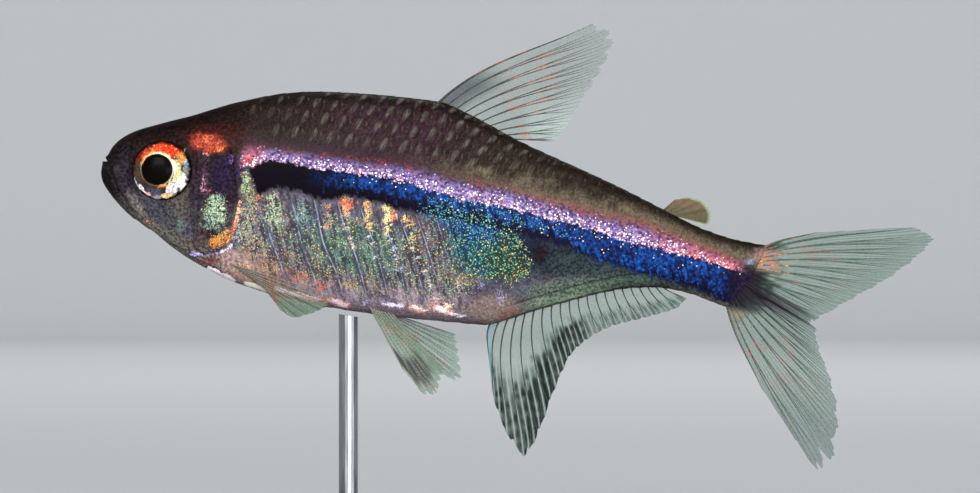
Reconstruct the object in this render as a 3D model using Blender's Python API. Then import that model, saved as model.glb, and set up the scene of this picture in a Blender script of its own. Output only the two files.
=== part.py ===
"""A small blue-banded tetra, about 42 mm from snout to tail base, as a still life-size model on a stand.

The fish is built level, in millimetres, in its own frame: x runs back from the front of the jaws, y to
its right and z up. It is then pitched head-up and set over the stand. Its left side faces -Y.
"""

import math

import bmesh
import bpy
import numpy as np
from mathutils import Matrix, Vector

MM = 0.001
GAP = 0.3

# Driving sizes of the fish, in millimetres
STANDARD_LENGTH = 41.25
PITCH_DEG = 8.2
SNOUT = Vector((-26.1, 0.0, 23.7))
HEAD_END = 9.0
TRUNK_END = 25.6
TRUNK_END_SLOPE = 0.12

# Station along the fish, height of the back, height of the belly, half of the width
PROFILE = (
    (0.00, 0.25, 0.15, 0.00),
    (0.03, 0.46, -0.08, 0.24),
    (0.10, 0.62, -0.33, 0.42),
    (0.20, 0.78, -0.56, 0.56),
    (0.30, 1.12, -0.73, 0.68),
    (0.50, 1.66, -0.98, 0.86),
    (1.00, 2.30, -1.50, 1.16),
    (1.90, 2.94, -2.25, 1.47),
    (2.90, 3.40, -2.88, 1.70),
    (4.00, 3.87, -3.45, 1.87),
    (5.20, 4.36, -4.10, 2.04),
    (6.40, 4.93, -4.68, 2.20),
    (7.80, 5.56, -5.20, 2.38),
    (9.00, 5.98, -5.60, 2.50),
    (10.5, 6.48, -5.90, 2.64),
    (12.5, 6.90, -6.18, 2.77),
    (15.0, 7.17, -6.34, 2.85),
    (17.5, 7.33, -6.38, 2.84),
    (20.3, 7.40, -6.33, 2.74),
    (21.8, 7.06, -6.25, 2.62),
    (23.5, 6.48, -6.16, 2.45),
    (25.2, 5.84, -6.06, 2.23),
    (26.5, 5.42, -5.55, 2.04),
    (28.0, 4.98, -4.80, 1.82),
    (30.0, 4.40, -3.92, 1.56),
    (32.0, 3.80, -3.08, 1.35),
    (34.0, 3.14, -2.45, 1.17),
    (36.0, 2.44, -2.18, 1.01),
    (38.0, 1.80, -2.32, 0.84),
    (39.6, 1.50, -2.58, 0.66),
    (STANDARD_LENGTH, 1.42, -2.80, 0.44),
)
WIDEST = 0.53
BACK_POWER = 2.05
BELLY_POWER = 2.3
RINGS = 56
AROUND = 36

# The slanted, curved rear edge of the body, where the tail fin grows: lean and curve about its middle
TAIL_EDGE_MIDDLE = -0.6
TAIL_EDGE_LEAN = 0.45
TAIL_EDGE_CURVE = -0.06
TAIL_EDGE_STARTS = 37.0

# Eye: centre, radii and how far its socket and pupil reach
EYE = (3.88, 0.62)
EYE_RADIUS = 1.80
EYE_DEPTH = 0.80
EYE_STANDS_OUT = 0.25
PUPIL_RADIUS = 0.97
SOCKET_DEPTH = 1.10

# Mouth line from the front to the corner, its slit, its lips
MOUTH = ((0.10, 0.86), (0.34, 0.70), (0.60, 0.38), (0.98, -0.24), (1.40, -0.96), (1.72, -1.50))
MOUTH_SLIT = 0.16
LIP_RADIUS = 0.17
LIP_OFFSET = 0.17

# Upper jaw bone behind the mouth's corner: its ends, its half-width and how far it stands out
JAW_BONE = ((0.95, 0.42), (2.75, -2.05))
JAW_BONE_HALF_WIDTH = 0.27
JAW_BONE_PROUD = 0.09

# Front and hind nostril on each side: centre and radius
NOSTRILS = ((1.36, 1.72, 0.13), (1.72, 1.66, 0.17))

# Gill cover outline, from its upper front corner round the hind edge to the throat
GILL_COVER = (
    (6.62, 1.95),
    (7.05, 2.46),
    (7.75, 2.35),
    (8.15, 1.45),
    (8.45, 0.30),
    (8.62, -0.95),
    (8.62, -2.20),
    (8.48, -3.15),
    (8.05, -3.82),
    (7.30, -4.10),
    (6.62, -3.90),
    (6.45, -2.80),
    (6.52, -1.10),
    (6.56, 0.60),
)
GILL_COVER_THICK = 0.50
GILL_COVER_PROUD = 0.08

# Thickness of the fins at the root and at the margin, on a ray and between rays
MEMBRANE_THICK = (0.52, 0.34)
RAY_THICK = (0.86, 0.46)
RAY_FOOT = 0.24
MARGIN_NOTCH = 0.025
RAY_ROWS = 6
BOW_PEAK = 4 / 27

# Each fin: number of rays, its base on the body, how far its first and last rays bow by share of their
# length, and its margin as rows of ray number, station and height (and side, on a paired fin)
DORSAL_RAYS = 10
DORSAL_BASE = (20.4, 25.5)
DORSAL_BOW = (-0.045, 0.0)
DORSAL_MARGIN = (
    (0, 29.20, 13.58),
    (1, 30.25, 13.30),
    (2, 30.62, 12.60),
    (3, 30.40, 11.55),
    (5, 29.66, 9.70),
    (7, 28.72, 7.50),
    (9, 27.88, 5.95),
)
ANAL_RAYS = 21
ANAL_BASE = (25.45, 36.0)
ANAL_BOW = (0.06, 0.03)
ANAL_MARGIN = (
    (0, 25.74, -8.20),
    (1, 26.40, -10.60),
    (2, 27.50, -12.60),
    (3, 28.75, -13.86),
    (4, 29.30, -12.90),
    (6, 30.12, -9.30),
    (8, 30.80, -7.10),
    (12, 32.80, -5.15),
    (16, 35.20, -4.10),
    (19, 36.95, -3.25),
    (20, 37.45, -2.60),
)
UPPER_TAIL_RAYS = 10
UPPER_TAIL_BOW = (-0.03, 0.0)
UPPER_TAIL_MARGIN = (
    (0, 44.90, 2.66),
    (1, 50.90, 3.82),
    (2, 52.20, 3.28),
    (3, 51.73, 2.50),
    (5, 50.00, 0.65),
    (7, 47.70, -1.15),
    (9, 45.55, -2.85),
)
LOWER_TAIL_RAYS = 9
LOWER_TAIL_BOW = (0.0, 0.03)
LOWER_TAIL_MARGIN = (
    (0, 45.70, -3.30),
    (1, 46.05, -4.40),
    (3, 47.10, -6.35),
    (5, 47.95, -9.20),
    (6, 47.95, -11.00),
    (7, 47.10, -12.05),
    (8, 42.90, -7.55),
)
TAIL_BASE_TOP = 1.35
TAIL_FORK = -1.05
TAIL_BASE_BOTTOM = -2.75
ADIPOSE_BASE = (35.2, 36.2)
ADIPOSE_MARGIN = (
    (0, 35.80, 3.42),
    (2, 36.70, 3.68),
    (4, 37.50, 3.55),
    (6, 38.05, 3.05),
    (7, 38.22, 2.55),
    (8, 38.02, 2.10),
)
ADIPOSE_THICK = (0.56, 0.42)

PECTORAL_RAYS = 11
PECTORAL_BASE = ((0, 9.66, -4.62), (5, 10.45, -5.22), (10, 11.20, -5.62))
PECTORAL_MARGIN = (
    (0, 16.00, -5.55, 3.15),
    (2, 15.35, -6.20, 3.05),
    (4, 14.80, -6.64, 2.80),
    (6, 14.00, -7.05, 2.50),
    (8, 13.40, -7.28, 2.20),
    (10, 12.50, -6.95, 1.80),
)
PELVIC_RAYS = 8
PELVIC_BASE = ((0, 18.00, 1.10), (4, 18.70, 0.88), (7, 19.40, 0.70))
LEFT_PELVIC_MARGIN = (
    (0, 20.60, -9.55, 1.95),
    (1, 22.08, -10.84, 2.15),
    (3, 22.85, -10.65, 2.10),
    (5, 22.95, -9.80, 1.90),
    (7, 23.10, -9.10, 1.70),
)
RIGHT_PELVIC_MARGIN = (
    (0, 22.00, -9.20, 2.05),
    (1, 23.75, -9.78, 2.20),
    (2, 24.24, -9.58, 2.15),
    (4, 23.95, -8.42, 1.90),
    (7, 23.45, -6.90, 1.60),
)

# Stand, in the world's frame
ROD_STATION = 16.6
ROD_RADIUS = 0.6
ROD_SIDES = 20
ROD_SOCKET_DEPTH = 1.6
BASE_SIZE = (32.0, 18.0, 2.6)
BASE_CENTRE_X = -8.5
BASE_CORNER = 4.0
BASE_BEVEL = 0.5

MATERIALS = {
    "body_skin": ((0.16, 0.12, 0.13), 0.35, 0.3),
    "gill_cover_skin": ((0.42, 0.44, 0.42), 0.3, 0.5),
    "fin_membrane": ((0.42, 0.50, 0.45), 0.3, 0.0),
    "eye_gloss": ((0.62, 0.42, 0.22), 0.1, 0.3),
    "stand_black": ((0.03, 0.03, 0.03), 0.45, 0.0),
    "stand_steel": ((0.56, 0.57, 0.58), 0.3, 1.0),
}


def clear_scene():
    for old in list(bpy.data.objects):
        bpy.data.objects.remove(old)


def material(name):
    """The named finish, made on first use."""
    found = bpy.data.materials.get(name)
    if found:
        return found
    colour, roughness, metallic = MATERIALS[name]
    made = bpy.data.materials.new(name)
    made.use_nodes = True
    shader = made.node_tree.nodes["Principled BSDF"]
    shader.inputs["Base Color"].default_value = (*colour, 1.0)
    shader.inputs["Roughness"].default_value = roughness
    shader.inputs["Metallic"].default_value = metallic
    return made


def add_object(name, mesh_or_bm, finish, parent=None):
    """Links a mesh, given in millimetres, as a named object of that finish."""
    if isinstance(mesh_or_bm, bmesh.types.BMesh):
        bmesh.ops.recalc_face_normals(mesh_or_bm, faces=mesh_or_bm.faces)
        mesh = bpy.data.meshes.new(name)
        mesh_or_bm.to_mesh(mesh)
        mesh_or_bm.free()
        mesh.transform(Matrix.Scale(MM, 4))
    else:
        mesh = mesh_or_bm
    made = bpy.data.objects.new(name, mesh)
    made.data.materials.append(material(finish))
    bpy.context.scene.collection.objects.link(made)
    made.parent = parent
    return made


def smooth_through(keys, values):
    """A function that passes smoothly through values at keys and never overshoots between two of them."""
    keys = np.asarray(keys, float)
    values = np.asarray(values, float)
    steps = np.diff(keys)
    slopes = (np.diff(values, axis=0).T / steps).T
    before = slopes[:-1]
    after = slopes[1:]
    same_way = before * after > 0
    harmonic = 2 * before * after / np.where(same_way, before + after, 1.0)
    tangents = np.concatenate([slopes[:1], np.where(same_way, harmonic, 0.0), slopes[-1:]])

    def curve(at):
        at = np.clip(at, keys[0], keys[-1])
        i = np.clip(np.searchsorted(keys, at, side="right") - 1, 0, len(steps) - 1)
        t = (at - keys[i]) / steps[i]
        if values.ndim > 1:
            t = np.expand_dims(t, -1)
            step = np.expand_dims(steps[i], -1)
        else:
            step = steps[i]
        start = (2 * t**3 - 3 * t**2 + 1) * values[i] + (t**3 - 2 * t**2 + t) * step * tangents[i]
        end = (3 * t**2 - 2 * t**3) * values[i + 1] + (t**3 - t**2) * step * tangents[i + 1]
        return start + end

    return curve


def curve_by_ray(rows):
    """A smooth curve through rows that start with a ray number, read from 0 at the first ray to 1."""
    return smooth_through([row[0] / rows[-1][0] for row in rows], [row[1:] for row in rows])


STATIONS = [row[0] for row in PROFILE]
back_height = smooth_through(STATIONS, [row[1] for row in PROFILE])
belly_height = smooth_through(STATIONS, [row[2] for row in PROFILE])
half_width = smooth_through(STATIONS, [row[3] for row in PROFILE])


def middle_height(station):
    """The level at which the body is widest."""
    belly = belly_height(station)
    return belly + WIDEST * (back_height(station) - belly)


def side_of_body(station, height):
    """How far the skin stands from the middle plane at a station and height."""
    middle = middle_height(station)
    if height >= middle:
        reach = back_height(station) - middle
        power = BACK_POWER
    else:
        reach = middle - belly_height(station)
        power = BELLY_POWER
    share = min(abs(height - middle) / reach, 1.0)
    return float(half_width(station) * (1 - share**power) ** (1 / power))


def belly_under(station, side):
    """The height of the underside at a distance from the middle plane."""
    middle = middle_height(station)
    share = min(abs(side) / half_width(station), 1.0)
    depth = (middle - belly_height(station)) * (1 - share**BELLY_POWER) ** (1 / BELLY_POWER)
    return float(middle - depth)


def rear_edge(height):
    """How far the body's rear edge lies behind its plain section at a height."""
    above = height - TAIL_EDGE_MIDDLE
    return TAIL_EDGE_LEAN * above + TAIL_EDGE_CURVE * above**2


def body_ring(station):
    """The points of one cross-section, from the back down the right side and up the left."""
    middle = float(middle_height(station))
    width = float(half_width(station))
    toward_tail = max(0.0, (station - TAIL_EDGE_STARTS) / (STANDARD_LENGTH - TAIL_EDGE_STARTS))
    ring = []
    for k in range(AROUND):
        angle = 2 * math.pi * k / AROUND
        up = math.cos(angle)
        across = math.sin(angle)
        if up >= 0:
            power = BACK_POWER
            reach = float(back_height(station)) - middle
        else:
            power = BELLY_POWER
            reach = middle - float(belly_height(station))
        height = middle + reach * math.copysign(abs(up) ** (2 / power), up)
        side = width * math.copysign(abs(across) ** (2 / power), across)
        ring.append(Vector((station + toward_tail * rear_edge(height), side, height)))
    return ring


def ring_stations():
    """Stations of the cross-sections, close together at the snout and even farther back."""
    near_snout = [0.03, 0.1, 0.2, 0.3, 0.42, 0.58, 0.8]
    rest = np.linspace(1.1, STANDARD_LENGTH, RINGS - len(near_snout))
    return near_snout + [float(x) for x in rest]


def whole_body():
    """The body from snout to tail base as one closed skin."""
    bm = bmesh.new()
    rings = [[bm.verts.new(p) for p in body_ring(s)] for s in ring_stations()]
    bridge_rings(bm, rings)
    snout = bm.verts.new((0.0, 0.0, (PROFILE[0][1] + PROFILE[0][2]) / 2))
    for k in range(AROUND):
        bm.faces.new((snout, rings[0][(k + 1) % AROUND], rings[0][k]))
    for k in range(AROUND // 2):
        lower = (AROUND - k) % AROUND
        quad = [rings[-1][k], rings[-1][k + 1], rings[-1][lower - 1], rings[-1][lower]]
        corners = list(dict.fromkeys(quad))
        bm.faces.new(corners)
    return bm


def cut_across(bm, station, slope, keep_front):
    """Cuts the body by a plane at a station, leaning back by slope for each step up, and closes the cut."""
    normal = Vector((1.0, 0.0, -slope)).normalized()
    if not keep_front:
        normal.negate()
    geometry = [*bm.verts, *bm.edges, *bm.faces]
    cut = bmesh.ops.bisect_plane(
        bm, geom=geometry, plane_co=(station, 0, 0), plane_no=normal, clear_outer=True
    )
    edges = [e for e in cut["geom_cut"] if isinstance(e, bmesh.types.BMEdge)]
    bmesh.ops.contextual_create(bm, geom=edges)


def ellipsoid(bm, centre, radii, columns=24, rows=12, turn=Matrix()):
    """Adds a closed ellipsoid whose poles lie along y before its turn."""
    poles_aside = Matrix.Rotation(math.pi / 2, 4, "X")
    placing = Matrix.Translation(centre) @ turn @ Matrix.Diagonal((*radii, 1.0)) @ poles_aside
    bmesh.ops.create_uvsphere(bm, u_segments=columns, v_segments=rows, radius=1.0, matrix=placing)


def bridge_rings(bm, rings):
    """Joins each closed ring of points to the next."""
    count = len(rings[0])
    for fore, aft in zip(rings, rings[1:]):
        for k in range(count):
            following = (k + 1) % count
            bm.faces.new((fore[k], fore[following], aft[following], aft[k]))


def prism(bm, outline, side_from, side_to):
    """Adds a prism across the fish over an outline of (station, height) points."""
    near = [bm.verts.new((x, side_from, z)) for x, z in outline]
    far = [bm.verts.new((x, side_to, z)) for x, z in outline]
    bm.faces.new(near)
    bm.faces.new(reversed(far))
    for i in range(len(outline)):
        j = (i + 1) % len(outline)
        bm.faces.new((near[j], near[i], far[i], far[j]))


def band_outline(line, half):
    """The outline of a band of that half width about a line, narrowing to its last point."""
    points = [Vector(p) for p in line]
    left, right = [], []
    for i, point in enumerate(points):
        along = (points[min(i + 1, len(points) - 1)] - points[max(i - 1, 0)]).normalized()
        across = Vector((-along.y, along.x)) * half * (1 - 0.5 * i / (len(points) - 1))
        left.append(tuple(point + across))
        right.append(tuple(point - across))
    return left + right[::-1]


def side_plate(bm, outline, sign, outer, inner, rings=4):
    """Adds a plate that follows the head's side inside an outline, between two depths from the skin."""
    centre = np.mean(outline, axis=0)
    count = len(outline)
    faces_of = []
    for depth in (outer, inner):
        grid = []
        for ring in range(1, rings + 1):
            share = ring / rings
            row = []
            for x, z in outline:
                px = centre[0] + (x - centre[0]) * share
                pz = centre[1] + (z - centre[1]) * share
                row.append(bm.verts.new((px, sign * (side_of_body(px, pz) + depth), pz)))
            grid.append(row)
        middle = bm.verts.new((centre[0], sign * (side_of_body(*centre) + depth), centre[1]))
        faces_of.append((middle, grid))
    for side, (middle, grid) in enumerate(faces_of):
        for k in range(count):
            following = (k + 1) % count
            bm.faces.new((middle, grid[0][k], grid[0][following]))
            for fore, aft in zip(grid, grid[1:]):
                bm.faces.new((fore[k], aft[k], aft[following], fore[following]))
    outer_rim = faces_of[0][1][-1]
    inner_rim = faces_of[1][1][-1]
    for k in range(count):
        following = (k + 1) % count
        bm.faces.new((outer_rim[k], inner_rim[k], inner_rim[following], outer_rim[following]))


def grown_outline(outline, by):
    """An outline moved outwards by a distance."""
    points = [Vector(p) for p in outline]
    count = len(points)
    grown = []
    for i, point in enumerate(points):
        along = (points[(i + 1) % count] - points[i - 1]).normalized()
        grown.append(tuple(point + Vector((-along.y, along.x)) * by))
    return grown


def rounded_outline(points, count):
    """A closed smooth outline through points, with count even steps."""
    closed = [*points[-2:], *points, *points[:3]]
    curve = smooth_through(np.arange(len(closed)), np.array(closed))
    at = 2 + np.arange(count) * len(points) / count
    return [tuple(float(v) for v in p) for p in curve(at)]


def cutter(name, bm, parent):
    """A hidden shape that cuts others."""
    made = add_object(name, bm, "body_skin", parent)
    made.hide_render = True
    made.display_type = "WIRE"
    return made


def cut_or_join(target, others, operation, solver="EXACT"):
    """One Boolean on target with a collection of closed shapes, applied; the shapes are then removed."""
    group = bpy.data.collections.new(target.name + "_tools")
    bpy.context.scene.collection.children.link(group)
    for other in others:
        group.objects.link(other)
    modifier = target.modifiers.new("shape", "BOOLEAN")
    modifier.operation = operation
    modifier.operand_type = "COLLECTION"
    modifier.collection = group
    modifier.solver = solver
    graph = bpy.context.evaluated_depsgraph_get()
    shaped = bpy.data.meshes.new_from_object(target.evaluated_get(graph))
    target.modifiers.clear()
    target.data = shaped
    for other in others:
        bpy.data.objects.remove(other)
    bpy.data.collections.remove(group)
    keep_largest_surface(target.data)


def keep_largest_surface(mesh):
    """Drops every loose surface but the one that encloses the most."""
    bm = bmesh.new()
    bm.from_mesh(mesh)
    left = set(bm.faces)
    surfaces = []
    while left:
        patch, edge_of_patch = set(), [left.pop()]
        while edge_of_patch:
            face = edge_of_patch.pop()
            patch.add(face)
            near = {f for e in face.edges for f in e.link_faces} & left
            left -= near
            edge_of_patch.extend(near)
        surfaces.append(patch)
    if len(surfaces) > 1:
        def enclosed(patch):
            points = [v.co for f in patch for v in f.verts]
            size = [max(p[i] for p in points) - min(p[i] for p in points) for i in range(3)]
            return size[0] * size[1] * size[2]

        largest = max(surfaces, key=enclosed)
        spare = [f for f in bm.faces if f not in largest]
        bmesh.ops.delete(bm, geom=spare, context="FACES")
    bm.to_mesh(mesh)
    bm.free()


def lip(bm, offset):
    """Adds a rounded lip that follows the mouth line round the snout, on one side of it."""
    curve = smooth_through(np.linspace(0, 1, len(MOUTH)), MOUTH)
    half_path = []
    for at in np.linspace(0.0, 1.0, 22):
        before, after = Vector(curve(max(at - 0.02, 0))), Vector(curve(min(at + 0.02, 1)))
        along = (after - before).normalized()
        point = Vector(curve(at)) + Vector((-along.y, along.x)) * offset
        station, height = point
        inside = belly_height(station) < height < back_height(station)
        if station < 0.04 or not inside:
            continue
        side = side_of_body(station, height)
        if not half_path:
            half_path.append(Vector((station - 0.03, 0.0, height + 0.02)))
        if side > 0.2:
            half_path.append(Vector((station, side - 0.03, height)))
    other_side = [Vector((p.x, -p.y, p.z)) for p in half_path[:0:-1]]
    path = other_side + half_path
    sides = 8
    rings = []
    for i, point in enumerate(path):
        along = (path[min(i + 1, len(path) - 1)] - path[max(i - 1, 0)]).normalized()
        from_end = min(i, len(path) - 1 - i) / 5
        radius = LIP_RADIUS * (0.55 + 0.45 * min(1.0, from_end))
        first = along.cross(Vector((0.3, 0.1, 1.0))).normalized()
        second = along.cross(first)
        ring = []
        for k in range(sides):
            angle = 2 * math.pi * k / sides
            outwards = math.cos(angle) * first + math.sin(angle) * second
            ring.append(bm.verts.new(point + radius * outwards))
        rings.append(ring)
    bridge_rings(bm, rings)
    bm.faces.new(rings[0])
    bm.faces.new(reversed(rings[-1]))


def jaw_bone(bm, sign):
    """Adds the upper jaw bone, a thin lens along the cheek, on one side."""
    (x0, z0), (x1, z1) = JAW_BONE
    centre = Vector(((x0 + x1) / 2, 0.0, (z0 + z1) / 2))
    ends = [Vector((x, sign * side_of_body(x, z), z)) for x, z in JAW_BONE]
    along = (ends[1] - ends[0]).normalized()
    outward = skin_normal(centre.x, centre.z, sign)
    across = along.cross(outward).normalized()
    outward = across.cross(along).normalized()
    turn = Matrix((along, outward, across)).transposed().to_4x4()
    centre.y = sign * side_of_body(centre.x, centre.z)
    half_length = (ends[1] - ends[0]).length / 2
    depth = 3 * JAW_BONE_PROUD
    centre -= outward * (depth - JAW_BONE_PROUD)
    ellipsoid(bm, centre, (half_length, depth, JAW_BONE_HALF_WIDTH), 18, 8, turn)


def head(parent):
    """The head with its lips, jaw bones, open eye sockets, mouth line, nostrils and gill cover seats."""
    bm = whole_body()
    cut_across(bm, HEAD_END - GAP / 2, 0.0, keep_front=True)
    made = add_object("head", bm, "body_skin", parent)
    raised = []
    for name, offset in (("upper_lip", LIP_OFFSET), ("lower_lip", -LIP_OFFSET)):
        bm = bmesh.new()
        lip(bm, offset)
        raised.append(cutter(name, bm, parent))
    for sign, word in ((-1, "left"), (1, "right")):
        bm = bmesh.new()
        jaw_bone(bm, sign)
        raised.append(cutter("jaw_bone_" + word, bm, parent))
    cut_or_join(made, raised, "UNION")
    tools = []
    bm = bmesh.new()
    prism(bm, band_outline(MOUTH, MOUTH_SLIT / 2), -3.0, 3.0)
    tools.append(cutter("mouth_slit", bm, parent))
    seat = grown_outline(rounded_outline(GILL_COVER, 28), GAP)
    for sign, word in ((-1, "left"), (1, "right")):
        bm = bmesh.new()
        eye_x, eye_z = EYE
        eye_y = side_of_body(eye_x, eye_z) + EYE_STANDS_OUT - EYE_DEPTH
        radius = EYE_RADIUS + GAP
        ellipsoid(bm, (eye_x, sign * eye_y, eye_z), (radius, SOCKET_DEPTH, radius))
        tools.append(cutter("socket_" + word, bm, parent))
        bm = bmesh.new()
        for x, z, size in NOSTRILS:
            ellipsoid(bm, (x, sign * side_of_body(x, z), z), (size, size * 1.4, size), 12, 6)
        tools.append(cutter("nostrils_" + word, bm, parent))
        bm = bmesh.new()
        side_plate(bm, seat, sign, 1.0, -GILL_COVER_THICK - GAP)
        tools.append(cutter("gill_seat_" + word, bm, parent))
    cut_or_join(made, tools, "DIFFERENCE")
    return made


def trunk(parent):
    bm = whole_body()
    cut_across(bm, HEAD_END + GAP / 2, 0.0, keep_front=False)
    cut_across(bm, TRUNK_END - GAP / 2, TRUNK_END_SLOPE, keep_front=True)
    return add_object("trunk", bm, "body_skin", parent)


def tail_stem(parent):
    bm = whole_body()
    cut_across(bm, TRUNK_END + GAP / 2, TRUNK_END_SLOPE, keep_front=False)
    return add_object("tail_stem", bm, "body_skin", parent)


def gill_cover(parent, word, sign):
    """The plate that closes the gills on one side, standing a little proud of the head."""
    bm = bmesh.new()
    outline = rounded_outline(GILL_COVER, 28)
    side_plate(bm, outline, sign, GILL_COVER_PROUD, -GILL_COVER_THICK)
    return add_object("gill_cover_" + word, bm, "gill_cover_skin", parent)


def eye(parent, word, sign):
    """A lens-shaped eyeball: a domed pupil inside a flatter ring, thick at the rim and round behind."""
    x, z = EYE
    front = side_of_body(x, z) + EYE_STANDS_OUT
    dome = 0.16
    profile = (
        (0.0, front),
        (PUPIL_RADIUS * 0.55, front - dome * 0.3),
        (PUPIL_RADIUS, front - dome),
        (PUPIL_RADIUS * 1.06, front - dome * 1.7),
        (EYE_RADIUS * 0.80, front - EYE_DEPTH * 0.52),
        (EYE_RADIUS, front - EYE_DEPTH),
        (EYE_RADIUS * 0.86, front - EYE_DEPTH * 1.42),
        (EYE_RADIUS * 0.5, front - EYE_DEPTH * 1.82),
        (0.0, front - EYE_DEPTH * 2),
    )
    sides = 28
    bm = bmesh.new()
    rings = []
    for radius, side in profile[1:-1]:
        ring = []
        for k in range(sides):
            angle = 2 * math.pi * k / sides
            point = (x + radius * math.cos(angle), sign * side, z + radius * math.sin(angle))
            ring.append(bm.verts.new(point))
        rings.append(ring)
    bridge_rings(bm, rings)
    for ring, side in ((rings[0], profile[0][1]), (rings[-1], profile[-1][1])):
        pole = bm.verts.new((x, sign * side, z))
        for k in range(sides):
            bm.faces.new((pole, ring[k], ring[(k + 1) % sides]))
    return add_object("eye_" + word, bm, "eye_gloss", parent)


def fin_columns(rays):
    """Positions across a fin of each ray's crest and feet, and whether each is a crest."""
    if rays == 0:
        return [(at, True) for at in np.linspace(0, 1, 9)]
    step = 1 / (rays - 1)
    columns = []
    for i in range(rays):
        if i > 0:
            columns.append(((i - RAY_FOOT) * step, False))
        columns.append((i * step, True))
        if i < rays - 1:
            columns.append(((i + RAY_FOOT) * step, False))
    return columns


def fin(name, parent, base, margin, rays, bow=(0.0, 0.0), rows=RAY_ROWS, thick=None):
    """A fin as one closed sheet whose rays stand up from the membrane on both faces.

    base and margin give the root and the free edge from the first ray to the last. The first and last
    rays bow by those shares of their length, a third of the way out, and end straight, so that they
    never cross a margin that runs close beside them. Both faces are split into triangles alike.
    """
    columns = fin_columns(rays)
    middle = np.zeros((len(columns), rows + 1, 3))
    half = np.zeros((len(columns), rows + 1))
    for i, (at, crest) in enumerate(columns):
        root = np.asarray(base(at), float)
        tip = np.asarray(margin(at), float)
        reach = 1.0 if crest else 1.0 - MARGIN_NOTCH
        across = np.array((tip[2] - root[2], 0.0, root[0] - tip[0]))
        bulge = bow[0] + (bow[1] - bow[0]) * at
        for row in range(rows + 1):
            t = reach * row / rows
            middle[i, row] = root + (tip - root) * t + across * bulge * t * (1 - t) ** 2 / BOW_PEAK
            root_thick, edge_thick = thick or (RAY_THICK if crest else MEMBRANE_THICK)
            half[i, row] = 0.5 * (root_thick + (edge_thick - root_thick) * row / rows)
    normal = np.cross(np.gradient(middle, axis=0), np.gradient(middle, axis=1))
    normal /= np.linalg.norm(normal, axis=2, keepdims=True)
    bm = bmesh.new()
    faces = []
    for sign in (1, -1):
        points = middle + sign * half[..., None] * normal
        faces.append([[bm.verts.new(p) for p in column] for column in points])
    for sheet in faces:
        for i in range(len(columns) - 1):
            for row in range(rows):
                a, b = sheet[i][row], sheet[i + 1][row]
                c, d = sheet[i + 1][row + 1], sheet[i][row + 1]
                bm.faces.new((a, b, c))
                bm.faces.new((a, c, d))
    last = len(columns) - 1
    rim = [(i, 0) for i in range(last)] + [(last, row) for row in range(rows)]
    rim += [(i, rows) for i in range(last, 0, -1)] + [(0, row) for row in range(rows, 0, -1)]
    for k, (i, row) in enumerate(rim):
        j, next_row = rim[(k + 1) % len(rim)]
        near, far = faces
        bm.faces.new((near[i][row], near[j][next_row], far[j][next_row], far[i][row]))
    return add_object(name, bm, "fin_membrane", parent)


def flat_margin(rows):
    """The margin of a fin that stands in the middle plane."""
    return curve_by_ray([(ray, x, 0.0, z) for ray, x, z in rows])


def side_margin(rows, sign):
    """The margin of a paired fin on the side given by sign."""
    return curve_by_ray([(ray, x, sign * y, z) for ray, x, z, y in rows])


def ridge_base(limits, height, sign):
    """The root line of a fin along the back (sign 1) or the belly (sign -1), one gap off the skin."""
    first, last = limits

    def base(at):
        station = first + (last - first) * at
        slope = (height(station + 0.05) - height(station - 0.05)) / 0.1
        normal = Vector((-slope, 0.0, 1.0)).normalized() * sign
        lean = GAP * normal
        return (station + lean.x, 0.0, float(height(station)) + lean.z)

    return base


def tail_base(first_height, last_height):
    """The root line of a tail lobe, one gap behind the body's rear edge."""

    def base(at):
        height = first_height + (last_height - first_height) * at
        return (STANDARD_LENGTH + rear_edge(height) + GAP, 0.0, height)

    return base


def median_fins(parent):
    base = ridge_base(DORSAL_BASE, back_height, 1)
    fin("dorsal_fin", parent, base, flat_margin(DORSAL_MARGIN), DORSAL_RAYS, DORSAL_BOW)
    base = ridge_base(ANAL_BASE, belly_height, -1)
    fin("anal_fin", parent, base, flat_margin(ANAL_MARGIN), ANAL_RAYS, ANAL_BOW)
    base = ridge_base(ADIPOSE_BASE, back_height, 1)
    fin("adipose_fin", parent, base, flat_margin(ADIPOSE_MARGIN), 0, rows=5, thick=ADIPOSE_THICK)
    base = tail_base(TAIL_BASE_TOP, TAIL_FORK + GAP / 2)
    fin("tail_fin_upper", parent, base, flat_margin(UPPER_TAIL_MARGIN), UPPER_TAIL_RAYS, UPPER_TAIL_BOW)
    base = tail_base(TAIL_FORK - GAP / 2, TAIL_BASE_BOTTOM)
    fin("tail_fin_lower", parent, base, flat_margin(LOWER_TAIL_MARGIN), LOWER_TAIL_RAYS, LOWER_TAIL_BOW)


def skin_normal(station, height, sign):
    """The outward direction of the skin on the side given by sign."""
    step = 0.05
    along = (side_of_body(station + step, height) - side_of_body(station - step, height)) / (2 * step)
    up = (side_of_body(station, height + step) - side_of_body(station, height - step)) / (2 * step)
    return Vector((-along, sign, -up)).normalized()


def paired_fins(parent):
    for sign, word in ((-1, "left"), (1, "right")):
        root = []
        for ray, x, z in PECTORAL_BASE:
            outward = skin_normal(x, z, sign)
            point = Vector((x, sign * side_of_body(x, z), z)) + outward * (GAP + RAY_THICK[0] / 2)
            root.append((ray, *point))
        margin = side_margin(PECTORAL_MARGIN, sign)
        fin("pectoral_fin_" + word, parent, curve_by_ray(root), margin, PECTORAL_RAYS)
        root = [(ray, x, sign * y, belly_under(x, y) - GAP) for ray, x, y in PELVIC_BASE]
        margin = side_margin(LEFT_PELVIC_MARGIN if sign < 0 else RIGHT_PELVIC_MARGIN, sign)
        fin("pelvic_fin_" + word, parent, curve_by_ray(root), margin, PELVIC_RAYS)


def to_world(point):
    """A point of the level fish in the world's frame, in millimetres."""
    return Matrix.Rotation(math.radians(PITCH_DEG), 3, "Y") @ Vector(point) + SNOUT


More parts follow.
